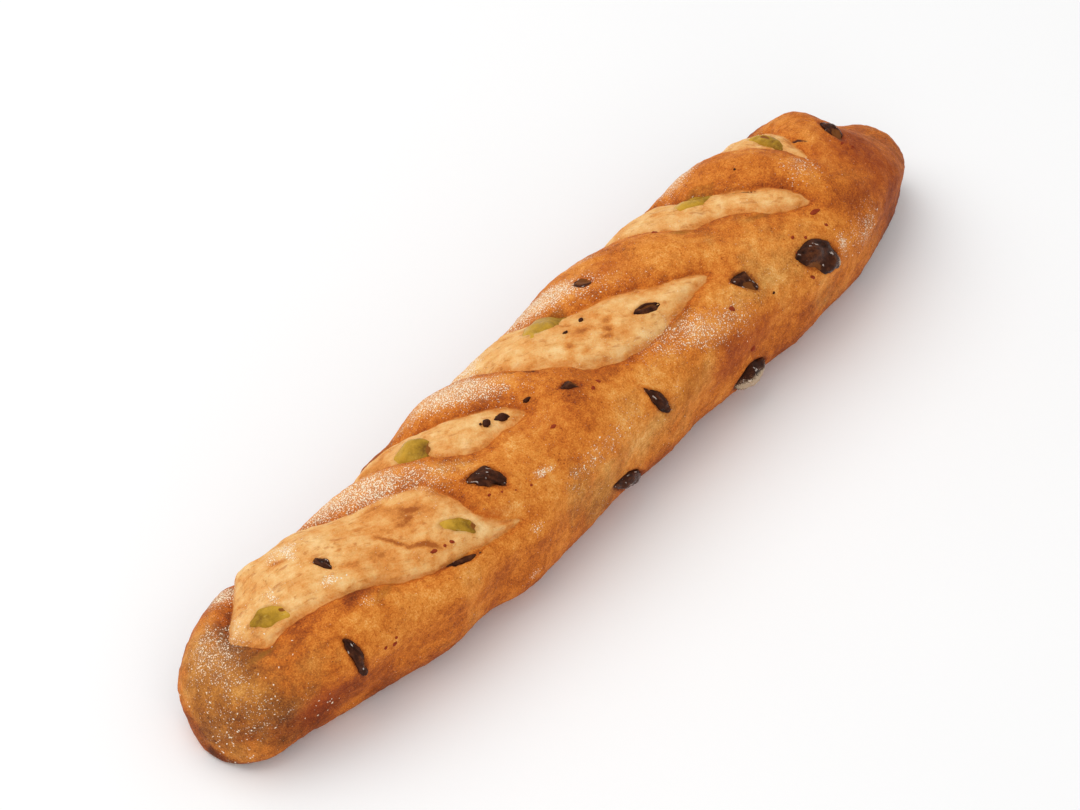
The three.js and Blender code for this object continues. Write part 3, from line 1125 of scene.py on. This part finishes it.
        low = 1 - smooth(points[:, 2], 2, 24)
        near, far = smooth(-rows[:, 0], 150, 190), smooth(rows[:, 0], 118, 165)
        bake_and_shade = self.brown + self.brown_low * low + self.brown_side * smooth(np.abs(around), 45, 85)
        bake_and_shade += self.sum_of(self.bake_and_shade, places)
        bake_and_shade += self.brown_near * near + self.brown_far * far
        # Painted shade on the crust just outside each slash edge.
        bake_and_shade += self.painted_lip_shade * bell(ragged + 2.6, 2.4)
        bake_and_shade += self.brown_back * smooth(-around, 55, 95) * (1 - under)
        toast_and_shade = self.toasted + self.toasted_edge * bell(ragged, 2.2)
        lumpy = Noise(11).at(wander, 3.5) + 0.8 * Noise(12).at(wander, 1.2)
        values = {
            "crumb": ragged,
            "grain": np.column_stack([grain, depth]),
            # Painted shade round the black olive pieces darkens the crust here and the crumb below.
            "bake_and_shade": np.clip(bake_and_shade + 0.25 * socket, 0, 1.2),
            "blush": self.sum_of(self.blush, places),
            "flour": self.sum_of(self.flour, places) - 0.16 + self.floured_base * under,
            "stain_and_shade": self.sum_of(self.stain_and_shade, places) + 0.28 * tint,
            "tan": 0.2 + self.sum_of(self.tan, places),
            "toast_and_shade": toast_and_shade + self.sum_of(self.toast_and_shade, places) + 0.2 * socket,
            "crack": np.clip(crack, 0, 1),
            "clumps": np.clip(self.sum_of(self.clumps, places), 0, 1) * smooth(lumpy, 0.0, 0.5),
        }
        return mesh_object("bread", points + shift, tube_faces(self.rings - 2, self.spokes), values)


# ------------------------------------------------------------------------------ strewn grains


@dataclass(frozen=True)
class Strewing:
    """Small rough grains strewn over a surface by Geometry Nodes, densest where a mask is 1."""

    name: str
    mask: str
    per_square_metre: float
    smallest: tuple[float, float, float]
    largest: tuple[float, float, float]
    roughness: float
    seed: int

    INPUTS = (
        ("Surface", "NodeSocketObject"),
        ("Mask", "NodeSocketString"),
        ("Density", "NodeSocketFloat"),
        ("Smallest", "NodeSocketVector"),
        ("Largest", "NodeSocketVector"),
        ("Roughness", "NodeSocketFloat"),
        ("Seed", "NodeSocketInt"),
        ("Finish", "NodeSocketMaterial"),
    )

    def tree(self) -> tuple[bpy.types.GeometryNodeTree, dict[str, str]]:
        """Build the nodes.

        Returns:
            The tree, and the identifier of each input by name.
        """
        tree = bpy.data.node_groups.new(self.name, "GeometryNodeTree")
        tree.interface.new_socket("Geometry", in_out="OUTPUT", socket_type="NodeSocketGeometry")
        names = {}
        for name, kind in self.INPUTS:
            socket = tree.interface.new_socket(name, in_out="INPUT", socket_type=kind)
            names[name] = socket.identifier
        kinds = {
            "given": "NodeGroupInput",
            "surface": "GeometryNodeObjectInfo",
            "mask": "GeometryNodeInputNamedAttribute",
            "times": "ShaderNodeMath",
            "points": "GeometryNodeDistributePointsOnFaces",
            "grain": "GeometryNodeMeshIcoSphere",
            "size": "FunctionNodeRandomValue",
            "place": "GeometryNodeInstanceOnPoints",
            "real": "GeometryNodeRealizeInstances",
            "where": "GeometryNodeInputPosition",
            "noise": "ShaderNodeTexNoise",
            "centred": "ShaderNodeVectorMath",
            "scaled": "ShaderNodeVectorMath",
            "rough": "GeometryNodeSetPosition",
            "finish": "GeometryNodeSetMaterial",
            "out": "NodeGroupOutput",
        }
        node = {name: tree.nodes.new(kind) for name, kind in kinds.items()}
        node["times"].operation = "MULTIPLY"
        node["size"].data_type = "FLOAT_VECTOR"
        node["centred"].operation = "SUBTRACT"
        node["centred"].inputs[1].default_value = (0.5, 0.5, 0.5)
        node["scaled"].operation = "SCALE"
        node["grain"].inputs["Radius"].default_value = 1.0
        node["grain"].inputs["Subdivisions"].default_value = 1
        node["noise"].inputs["Scale"].default_value = 1900.0
        wires = (
            ("given", "Surface", "surface", "Object"),
            ("given", "Mask", "mask", "Name"),
            ("mask", "Attribute", "times", 0),
            ("given", "Density", "times", 1),
            ("surface", "Geometry", "points", "Mesh"),
            ("times", 0, "points", "Density"),
            ("given", "Seed", "points", "Seed"),
            ("given", "Smallest", "size", "Min"),
            ("given", "Largest", "size", "Max"),
            ("given", "Seed", "size", "Seed"),
            ("points", "Points", "place", "Points"),
            ("points", "Rotation", "place", "Rotation"),
            ("grain", "Mesh", "place", "Instance"),
            ("size", "Value", "place", "Scale"),
            ("place", "Instances", "real", "Geometry"),
            ("where", 0, "noise", "Vector"),
            ("noise", "Color", "centred", 0),
            ("centred", 0, "scaled", 0),
            ("given", "Roughness", "scaled", "Scale"),
            ("real", "Geometry", "rough", "Geometry"),
            ("scaled", 0, "rough", "Offset"),
            ("rough", "Geometry", "finish", "Geometry"),
            ("given", "Finish", "finish", "Material"),
            ("finish", "Geometry", "out", 0),
        )
        for source, answer, target, entry in wires:
            tree.links.new(node[source].outputs[answer], node[target].inputs[entry])
        return tree, names

    def build(self, surface: bpy.types.Object, finish: bpy.types.Material) -> bpy.types.Object:
        """Strew the grains and turn them into a plain mesh.

        Args:
            surface: what they lie on, which carries the mask.
            finish: their material.

        Returns:
            The grains as one piece.
        """
        holder = bpy.data.objects.new(f"{self.name}_holder", bpy.data.meshes.new("empty"))
        bpy.context.scene.collection.objects.link(holder)
        tree, names = self.tree()
        strew = holder.modifiers.new("strew", "NODES")
        strew.node_group = tree
        values = {
            "Surface": surface,
            "Mask": self.mask,
            "Density": self.per_square_metre,
            "Smallest": [v * MM for v in self.smallest],
            "Largest": [v * MM for v in self.largest],
            "Roughness": self.roughness * MM,
            "Seed": self.seed,
            "Finish": finish,
        }
        for name, value in values.items():
            strew[names[name]] = value
        made = holder.evaluated_get(bpy.context.evaluated_depsgraph_get())
        mesh = bpy.data.meshes.new_from_object(made)
        mesh.name = self.name
        bpy.data.objects.remove(holder)
        piece = bpy.data.objects.new(self.name, mesh)
        bpy.context.scene.collection.objects.link(piece)
        return piece


@dataclass(frozen=True)
class Flecks:
    """Small separate bits pressed into the crust, each given by place, length, width and turn."""

    name: str
    bits: tuple[tuple[float, float, float, float, float], ...]
    height: float
    showing: float = 0.4  # the most that stands out of the crust, as a share of the width
    lumps: float = 0.3
    tone: float = 0.4
    rings: int = 15
    spokes: int = 20

    def build(self, form: LoafForm, shift: np.ndarray) -> bpy.types.Object:
        """Make all the bits as one piece.

        Args:
            form: the loaf that they lie on.
            shift: from the loaf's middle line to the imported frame.

        Returns:
            The piece.
        """
        points, faces = [], []
        unit, pattern = ball(self.rings, self.spokes), Noise(90)
        for number, (along, around, length, width, turn) in enumerate(self.bits):
            height = min(self.height, self.showing * width)
            bit = Olive("bit", Cut.TORN, (along, around), (length, width, width), turn, height)
            centre, axes = bit.axes(form)
            body = unit * np.array(bit.size) / 2
            body *= 1 + self.lumps * pattern.at(unit + 3 * number, 0.7)[:, None]
            base = number * len(unit)
            points.append(centre + shift + body @ axes)
            faces += [tuple(base + k for k in f) for f in tube_faces(self.rings, self.spokes)]
        corners = np.vstack(points)
        return mesh_object(self.name, corners, faces, {"tone": np.full(len(corners), self.tone)})


# ------------------------------------------------------------------------------ studio


@dataclass(frozen=True)
class Studio:
    """Pale floor, soft light from above and behind, and the camera."""

    azimuth: float = -50.81
    elevation: float = 45.0
    distance: float = 1.674
    target: tuple[float, float, float] = (-0.0111, 0.0062, 0.028)
    lens: float = 150.0
    floor_half_size: float = 4.0
    sky: float = 0.62
    lamps: tuple[tuple[str, tuple[float, float, float], float, float], ...] = (
        ("key", (-0.25, 0.75, 1.5), 1.8, 15.0),
        ("fill", (-1.1, -1.2, 0.9), 1.4, 5.0),
    )

    def toward_camera(self) -> Vector:
        """Unit vector from the loaf to the camera."""
        a, e = math.radians(self.azimuth), math.radians(self.elevation)
        return Vector((math.sin(a) * math.cos(e), -math.cos(a) * math.cos(e), math.sin(e)))

    def add_camera(self) -> None:
        """Stand the camera so that it looks down along the loaf from its blunt end."""
        data = bpy.data.cameras.new("camera")
        data.lens = self.lens
        camera = bpy.data.objects.new("camera", data)
        camera.location = Vector(self.target) + self.toward_camera() * self.distance
        camera.rotation_mode = "QUATERNION"
        camera.rotation_quaternion = (-self.toward_camera()).to_track_quat("-Z", "Y")
        bpy.context.scene.collection.objects.link(camera)
        bpy.context.scene.camera = camera

    def add_lights(self) -> None:
        """Light the loaf with large soft lamps and an even sky."""
        for name, place, size, watts in self.lamps:
            data = bpy.data.lights.new(name, "AREA")
            data.size = size
            data.energy = watts
            lamp = bpy.data.objects.new(name, data)
            lamp.location = place
            lamp.rotation_mode = "QUATERNION"
            aim = Vector(self.target) - Vector(place)
            lamp.rotation_quaternion = aim.to_track_quat("-Z", "Y")
            bpy.context.scene.collection.objects.link(lamp)
        world = bpy.data.worlds.new("studio")
        world.use_nodes = True
        backdrop = world.node_tree.nodes["Background"]
        backdrop.inputs["Color"].default_value = (1, 1, 1, 1)
        backdrop.inputs["Strength"].default_value = self.sky
        bpy.context.scene.world = world
        bpy.context.scene.view_settings.view_transform = "Standard"

    def add_floor(self) -> None:
        """Lay the pale floor."""
        half = self.floor_half_size / MM
        corners = np.array([(-half, -half, 0), (half, -half, 0), (half, half, 0), (-half, half, 0)])
        floor = mesh_object("floor", corners, [(0, 1, 2, 3)], {})
        floor.data.materials.append(PALE_FLOOR.material())


# ------------------------------------------------------------------------------ the whole loaf


# A row holds an olive piece's place, its length, width and thickness, turn, how proud it stands,
# bend and taper, then the spots where its flesh is bare and where flour lies on it, its raggedness
# and its darker end. Spots are given on its own length and width, from -1 to 1.
BLACK_OLIVES = pieces(
    "black", Cut.TORN,
    ((-154.1, 61.5), (18, 5.4, 6), 84, 1.4, 0.18, (0.35, 0.1), ((0.45, 0.6, 0.3, 0.5),)),
    ((-138.9, 0.2), (10.5, 5, 4.5), 73, 0.8, 0.1, (0.1, 0.9)),
    ((-97.2, 50.5), (18, 2.6, 4), 17, 0.6, -0.3, (0.3, 0.8)),
    ((-72.1, 21.2), (17.5, 8, 7), 44, 1.8, 0.3, (0.5, 0.25), ((0.45, -0.9, 0.4, 0.3),), (), 0.4),
    ((-18.3, 18.7), (11, 4, 4.5), 29, 0.8, 0.2, (0.9, 0.1), ((0.6, 0.2, 0.4, 0.8),)),
    ((32.6, 12.7), (16, 5, 4.5), 21, 0.9, 0.1, (0.5, 0.6), ((0.1, 0.1, 0.6, 0.25),)),
    ((29.5, -27), (9, 7.5, 5), 41, 0.9, 0, (0.2, 0.1), ((0.15, 0.1, 0.8, 0.7),)),
    ((7.8, 57.5), (15, 6.2, 5.5), 67, 1.4, 0, (0.65, 0.15)),
    ((-12, 97.5), (25, 8, 8), 30, 2.6, 0.1, (0.6, 0.2)),
    ((62, 102), (20, 12, 10), 4, 4.2, 0, (0.3, 0.35), (), ((0.0, -0.15, 1.1, 0.75),)),
    (
        (71.2, 39.6), (14, 8.2, 6), 49, 1.3, 0.3, (0.6, 0.1),
        ((0.35, -0.5, 0.5, 0.4), (0.55, 0.65, 0.4, 0.35)),
    ),
    (
        (106.5, 58), (25, 13.5, 9), 38, 2.2, 0.1, (0.15, 0.1), ((-0.3, -0.8, 0.35, 0.5),),
        ((0.95, 0.15, 0.25, 0.6),), 0.2,
    ),
    ((161.5, 1.5), (14.5, 6.5, 7), 106, 2, 0.1, (0.3, 0.3), ((0.55, -0.2, 0.5, 0.7),)),
    ((-118, -98), (15, 9, 8), 30, 1.8, 0.1, (0.3, 0.2)),
    ((-44, -102), (13, 8, 7), -20, 1.6, 0.3, (0.3, 0.3), ((0.1, -0.6, 0.6, 0.4),)),
    ((22, -100), (17, 10, 8), 50, 2, 0, (0.2, 0.3), (), ((0.5, 0, 0.4, 0.6),)),
    ((93, -104), (12, 7, 7), 10, 1.5, 0.1, (0.5, 0.2)),
    ((146, -96), (14, 9, 7), -35, 1.8, 0.35, (0.2, 0.4), ((0, -0.7, 0.6, 0.4),)),
)
GREEN_OLIVES = pieces(
    "green", Cut.LEAF,
    (
        (-165.8, -2), (17.5, 9, 6), 31, 0.8, 0.15, (0.7, 0.15), ((0.68, 0.1, 0.14, 0.2),),
        (), 0.16, -1,
    ),
    ((-92, 31), (17, 6.2, 6), 42, 0.8, 0.1, (0.4, 0.1), ((0.85, 0, 0.35, 0.7),)),
    ((-77, -25), (16, 12, 7), 50, 1, 0.1, (0.35, 0.1), ((0.9, 0, 0.3, 0.6),)),
    ((4, -24), (24, 12.5, 6), -2, 0.8, 0.1, (0.2, 0.3), ((0.85, 0, 0.4, 0.8),)),
    ((95, -24), (22, 11.5, 6), 9, 0.8, 0, (0.2, 0.5), ((0.9, 0.1, 0.4, 0.6),)),
    ((138, -21.5), (17, 6.5, 6), 91, 0.8, 0.1, (0.2, 0.4), ((-0.2, 0.2, 0.3, 0.3),)),
    ((-140, -86), (13, 8, 6), -40, 0.8, 0, (0.3, 0.2)),
    ((-22, -88), (14, 8, 6), 48, 0.8, 0.1, (0.2, 0.4)),
)
OLIVES = BLACK_OLIVES + GREEN_OLIVES

# A row holds a patch's place along and around, its half length and half width, turn and strength.
# Darker and paler patches of crust; the thin ones along the slash edges are painted crease shade.
BAKE_AND_SHADE = patches(
    (62, 74, 26, 12, 5, 0.16), (-155, 90, 24, 10, 0, 0.2), (-186, 78, 14, 20, 0, 0.1),
    (-5, 80, 22, 12, 0, -0.14), (-144, 30, 9, 3, -20, 0.32), (-160, 26, 6, 2.5, 0, 0.2),
    (-15, 25, 12, 6, 0, 0.18), (100, -52, 15, 9, 40, 0.06), (-110, 62, 36, 9, 0, -0.1),
    (80, 50, 24, 9, 0, -0.06), (-48, 84, 20, 9, 0, 0.12), (-60, 20, 14, 8, 0, -0.02),
    (30, -5, 14, 8, 30, -0.06), (-184, -30, 16, 20, 0, 0.06), (-85, 48, 24, 6, 0, -0.2),
    (-58, 10, 14, 7, 0, -0.1), (5, 50, 18, 8, 0, -0.12), (60, 12, 14, 10, 0, -0.12),
    (36, 70, 8, 8, 0, -0.12), (113, -30, 7, 8, 0, 0.2), (136, 46, 14, 8, 0, 0.14),
    (153, -24, 10, 20, 0, -0.16), (-176, 70, 20, 18, 0, 0.08), (-192, -50, 12, 22, 0, -0.16),
    (-192, 104, 10, 14, 0, -0.26), (-92, 70, 14, 8, 0, 0.12), (157, -44, 9, 12, 0, -0.2),
    (-58, 90, 12, 8, 0, -0.12), (-25, 88, 9, 8, 0, 0.12), (-80, 50, 14, 7, 0, -0.14),
    (145, -30, 7, 8, 0, -0.2), (145, -10, 6, 8, 0, -0.12), (50, 30, 12, 8, 0, -0.14),
    (105, 70, 8, 8, 0, -0.18), (35, 70, 8, 8, 0, -0.12), (-50, 90, 10, 8, 0, -0.1),
    (135, 30, 8, 8, 0, 0.14), (-190, 114, 14, 14, 0, -0.2), (-198, -125, 10, 30, 0, -0.4),
    (166, 48, 24, 28, 0, 0.1),
)
BLUSH = patches(
    (38, -22, 12, 6, 40, 0.3), (55, 72, 26, 9, 0, 0.28), (-80, 38, 10, 2.5, 20, 0.3),
    (-36, 22, 16, 5, 30, 0.15), (150, 12, 18, 8, 0, 0.18), (160, 40, 16, 14, 0, 0.15),
    (-100, 34, 6, 2, 0, 0.2), (-170, 82, 12, 9, 0, 0.3), (166, 48, 24, 28, 0, 0.14),
)
FLOUR = patches(
    (-97, -24, 28, 9, 42, 0.7), (-43, -30, 27, 8, 45, 0.7), (20, -40, 22, 9, 45, 0.8),
    (-104, -44, 16, 10, 55, 0.25), (-48, -50, 16, 9, 55, 0.3), (12, -58, 14, 9, 50, 0.5),
    (42, 42, 30, 9, 20, 0.62), (-25, 56, 22, 5, 0, 0.42), (134, 66, 14, 10, 0, 0.5),
    (130, 10, 10, 7, 0, 0.5), (-181, -26, 14, 18, 0, 0.52), (-192, 40, 9, 34, 0, 0.4),
    (-178, 62, 7, 9, 30, 0.2), (58, -52, 12, 7, 45, 0.3), (-142, 10, 4, 2.2, 0, 0.9),
    (-141, -20, 2, 6, 20, 0.6), (-158, -8, 2, 5, 20, 0.6), (18, 60, 5, 4, 0, 0.5),
    (120, 62, 3, 6, 0, 0.6), (-138, 35, 4, 3, 0, 0.45), (-70, 97, 5, 3, 0, 0.7),
    (-66, 64, 4, 3, 0, 0.6), (-52, 40, 6, 1.8, 20, 0.8), (107, -55, 14, 9, 0, 0.5),
    (-160, -62, 9, 9, 0, 0.9), (-140, -32, 10, 7, 0, 0.6), (-112, -58, 12, 8, 0, 0.4),
    (-22, -60, 14, 9, 0, 0.7), (40, -52, 12, 7, 45, 0.62), (135, -52, 8, 6, 0, 0.6),
    (-36, -42, 14, 12, 40, 0.4), (110, -60, 14, 12, 0, 0.45), (-25, -50, 8, 8, 0, 0.25),
)
# Olive stains; the thin ones along the slash edges are painted crease shade.
STAIN_AND_SHADE = patches(
    (25, 68, 12, 6, 0, 0.25), (73, -8, 4, 1.6, 30, 0.6), (100, 15, 6, 1.4, 20, 0.4),
    (-176, 13, 6, 1.6, 20, 0.6), (38, 31, 12, 1.6, 0, 0.3), (-130, 36, 8, 1.8, -10, 0.3),
)
TAN = patches(
    (-190, 20, 22, 60, 0, 0.6), (-25, 84, 45, 12, 0, 0.25), (25, 68, 18, 10, 0, 0.25),
    (110, 80, 26, 12, 0, 0.1), (80, 40, 30, 12, 0, 0.3), (175, 0, 25, 40, 0, -0.1),
    (-45, -25, 20, 14, 40, -0.3), (30, 10, 30, 14, 20, -0.35), (55, 75, 24, 10, 0, -0.4),
    (-30, 25, 30, 10, 10, -0.3), (-155, 85, 20, 12, 0, -0.3), (50, -50, 14, 10, 40, -0.3),
    (115, -30, 20, 12, 40, -0.3),
)
TOAST = patches(
    (-118, 22, 22, 7, 30, 0.25), (-100, 5, 14, 3, 40, 0.2), (15, 5, 12, 6, 30, 0.15),
    (-85, -50, 6, 8, 40, 0.2), (-25, -55, 5, 8, 40, 0.1), (-102, -4, 20, 14, 0, 0.2),
    (-99, 5, 2.6, 1.4, 40, 0.6), (-107, 7, 2.6, 1.3, 30, 0.5), (-103, 8, 2.2, 1.2, 0, 0.5),
    (-146, -24, 3, 1.4, 60, 0.35), (8, -2, 3, 1.5, 20, 0.5), (15, 6, 2.4, 1.6, 0, 0.6),
    (12, 9, 2.4, 1.2, 30, 0.5), (19, 2, 2.6, 1.2, 0, 0.45), (-2, 1, 2.2, 1.4, 0, 0.45),
    (1, 8, 2.4, 1.4, 0, 0.45), (5, -10, 6, 5, 0, 0.2), (-115.2, 7.7, 3.4, 0.9, 64, 0.5),
    (-112.7, 16.7, 3.6, 1.0, 67, 0.55), (-109, 23.6, 3.4, 1.1, 27, 0.6),
    (-105.1, 28.8, 3, 1.1, 54, 0.6),
)
CLUMPS = patches(
    (-199, 50, 5, 50, 0, 0.8), (-187, 58, 5, 9, 0, 0.6), (-168, 90, 6, 5, 0, 0.6),
    (-180, 20, 12, 16, 0, 0.15), (-140, 12, 4, 2.2, 0, 0.7), (-97, -22, 22, 7, 42, 0.12),
    (-43, -28, 22, 6, 45, 0.12), (20, -38, 16, 7, 45, 0.12), (44, 44, 22, 6, 25, 0.18),
    (-25, 56, 18, 4, 0, 0.25), (134, 70, 12, 9, 0, 0.25), (130, 12, 11, 6, 0, 0.3),
    (120, 62, 3, 6, 0, 0.8),
)
CRACKS = (
    Crack(((-8, -27), (-2, -20), (4, -17)), 0.3),
    Crack(((-26, -15), (-20, -3), (-15, 2)), 0.6),
    Crack(((-104, 49), (-97, 52), (-90, 54)), 0.5),
    Crack(((-62, -33), (-56, -22), (-50, -11)), 0.35),
    Crack(((62, -33), (66, -25)), 0.4),
    Crack(((104, -8), (111, 2)), 0.5),
    Crack(((146, -12), (148, -3)), 0.7),
)
# Along, around, length, width and turn of each bit.
TOASTED = (
    (-106, 33, 3, 1.6, 20), (-102, 35, 2, 1.4, 0), (-99, 36, 2.4, 1.6, 40), (-75, 29, 1.4, 1.2, 0),
    (-71, 32, 1.6, 1.2, 10), (-67, 36, 1.4, 1.2, 0), (-60, 40, 1.2, 1.0, 0), (-36, 28, 3, 1.6, 10),
    (-143, 68, 1.8, 1.4, 0), (-139, 70, 2.6, 1.8, 0), (-137, 66, 1.4, 1.2, 30),
    (58, 46, 3, 2.4, 60), (63, 82, 4, 3, 40), (67, -19, 3, 1.8, 0), (118, 36, 5, 2, 10),
    (117, 46, 2, 2, 0), (105, 43, 2, 2, 0), (98, 47, 2.4, 1.2, 70), (99, 64, 3, 1.4, 50),
    (157, 14, 2.4, 2.2, 0), (159, 20, 2.4, 2.2, 0), (-12, 28, 2.4, 1.6, 0), (-8, 27, 2.6, 1.6, 60),
    (101, 38, 1.4, 1.2, 0),
)
OLIVE_BITS = (
    (-50.6, -2.7, 3.6, 3.4, 0), (-44.6, 1.2, 7.4, 4, 45), (-32.5, 5.7, 4, 2.2, 20),
    (-53.5, -4.5, 1, 1, 0), (3, -7, 2.6, 1.2, 0), (12, -8, 2.8, 1.6, -20), (113, -14, 1.2, 1.1, 0),
    (80, 56, 1.2, 1, 0),
)


def packed_shift() -> np.ndarray:
    """Find the shift from the loaf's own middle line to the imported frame.

    Returns:
        The shift in millimetres, as the olive pieces' packed boxes give it.
    """
    solid = LoafForm(crumb_swell=3.0, crease_width=5.5, crease_ease=0.0)
    shifts = []
    for olive in OLIVES:
        low, high = (np.array(corner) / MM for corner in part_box(olive.node))
        shifts.append((low + high) / 2 - olive.axes(solid)[0])
    shift = np.mean(shifts, axis=0)
    LOG.info("packed shift %s, spread %s", shift.round(3), np.ptp(shifts, axis=0).round(3))
    return shift * (1, 1, 0)


def settle(
    piece: bpy.types.Object, finish: bpy.types.Material, nodes: Sequence[str] = ()
) -> None:
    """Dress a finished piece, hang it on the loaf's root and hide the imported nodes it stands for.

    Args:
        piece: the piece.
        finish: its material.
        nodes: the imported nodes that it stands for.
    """
    if not piece.data.materials:
        piece.data.materials.append(finish)
    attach(piece, "root")
    if nodes:
        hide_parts(*nodes)
    LOG.info("%s: %d faces", piece.name, len(piece.data.polygons))


def main() -> None:
    """Build the loaf, its olives, its flour and the studio."""
    logging.basicConfig(level=logging.INFO, format="%(message)s")
    form = LoafForm()
    studio = Studio()
    studio.add_camera()
    studio.add_lights()
    studio.add_floor()

    shift = packed_shift()
    loaf = Bread(
        form, OLIVES, bake_and_shade=BAKE_AND_SHADE, blush=BLUSH, flour=FLOUR, stain_and_shade=STAIN_AND_SHADE, tan=TAN, toast_and_shade=TOAST,
        clumps=CLUMPS, cracks=CRACKS,
    )
    bread = loaf.build(shift)
    settle(bread, BreadFinish().material(), ["loaf"])
    black, green = BLACK.material(), GREEN.material()
    for number, olive in enumerate(OLIVES):
        slot, finish = ("green_olive", green) if olive.cut is Cut.LEAF else ("black_olive", black)
        settle(olive.build(form, shift, number), finish, [olive.node])
    flour = FLOUR_GRAINS.material()
    grains = Strewing(
        "flour_grains", "clumps", per_square_metre=700000, smallest=(0.12, 0.12, 0.06),
        largest=(0.5, 0.42, 0.22), roughness=0.35, seed=7,
    )
    settle(grains.build(bread, flour), flour)
    toasted = TOASTED_FLECKS.material()
    settle(Flecks("toasted_flecks", TOASTED, 0.5).build(form, shift), toasted)
    settle(Flecks("olive_bits", OLIVE_BITS, 1.0).build(form, shift), black)


if __name__ == "__main__":
    main()
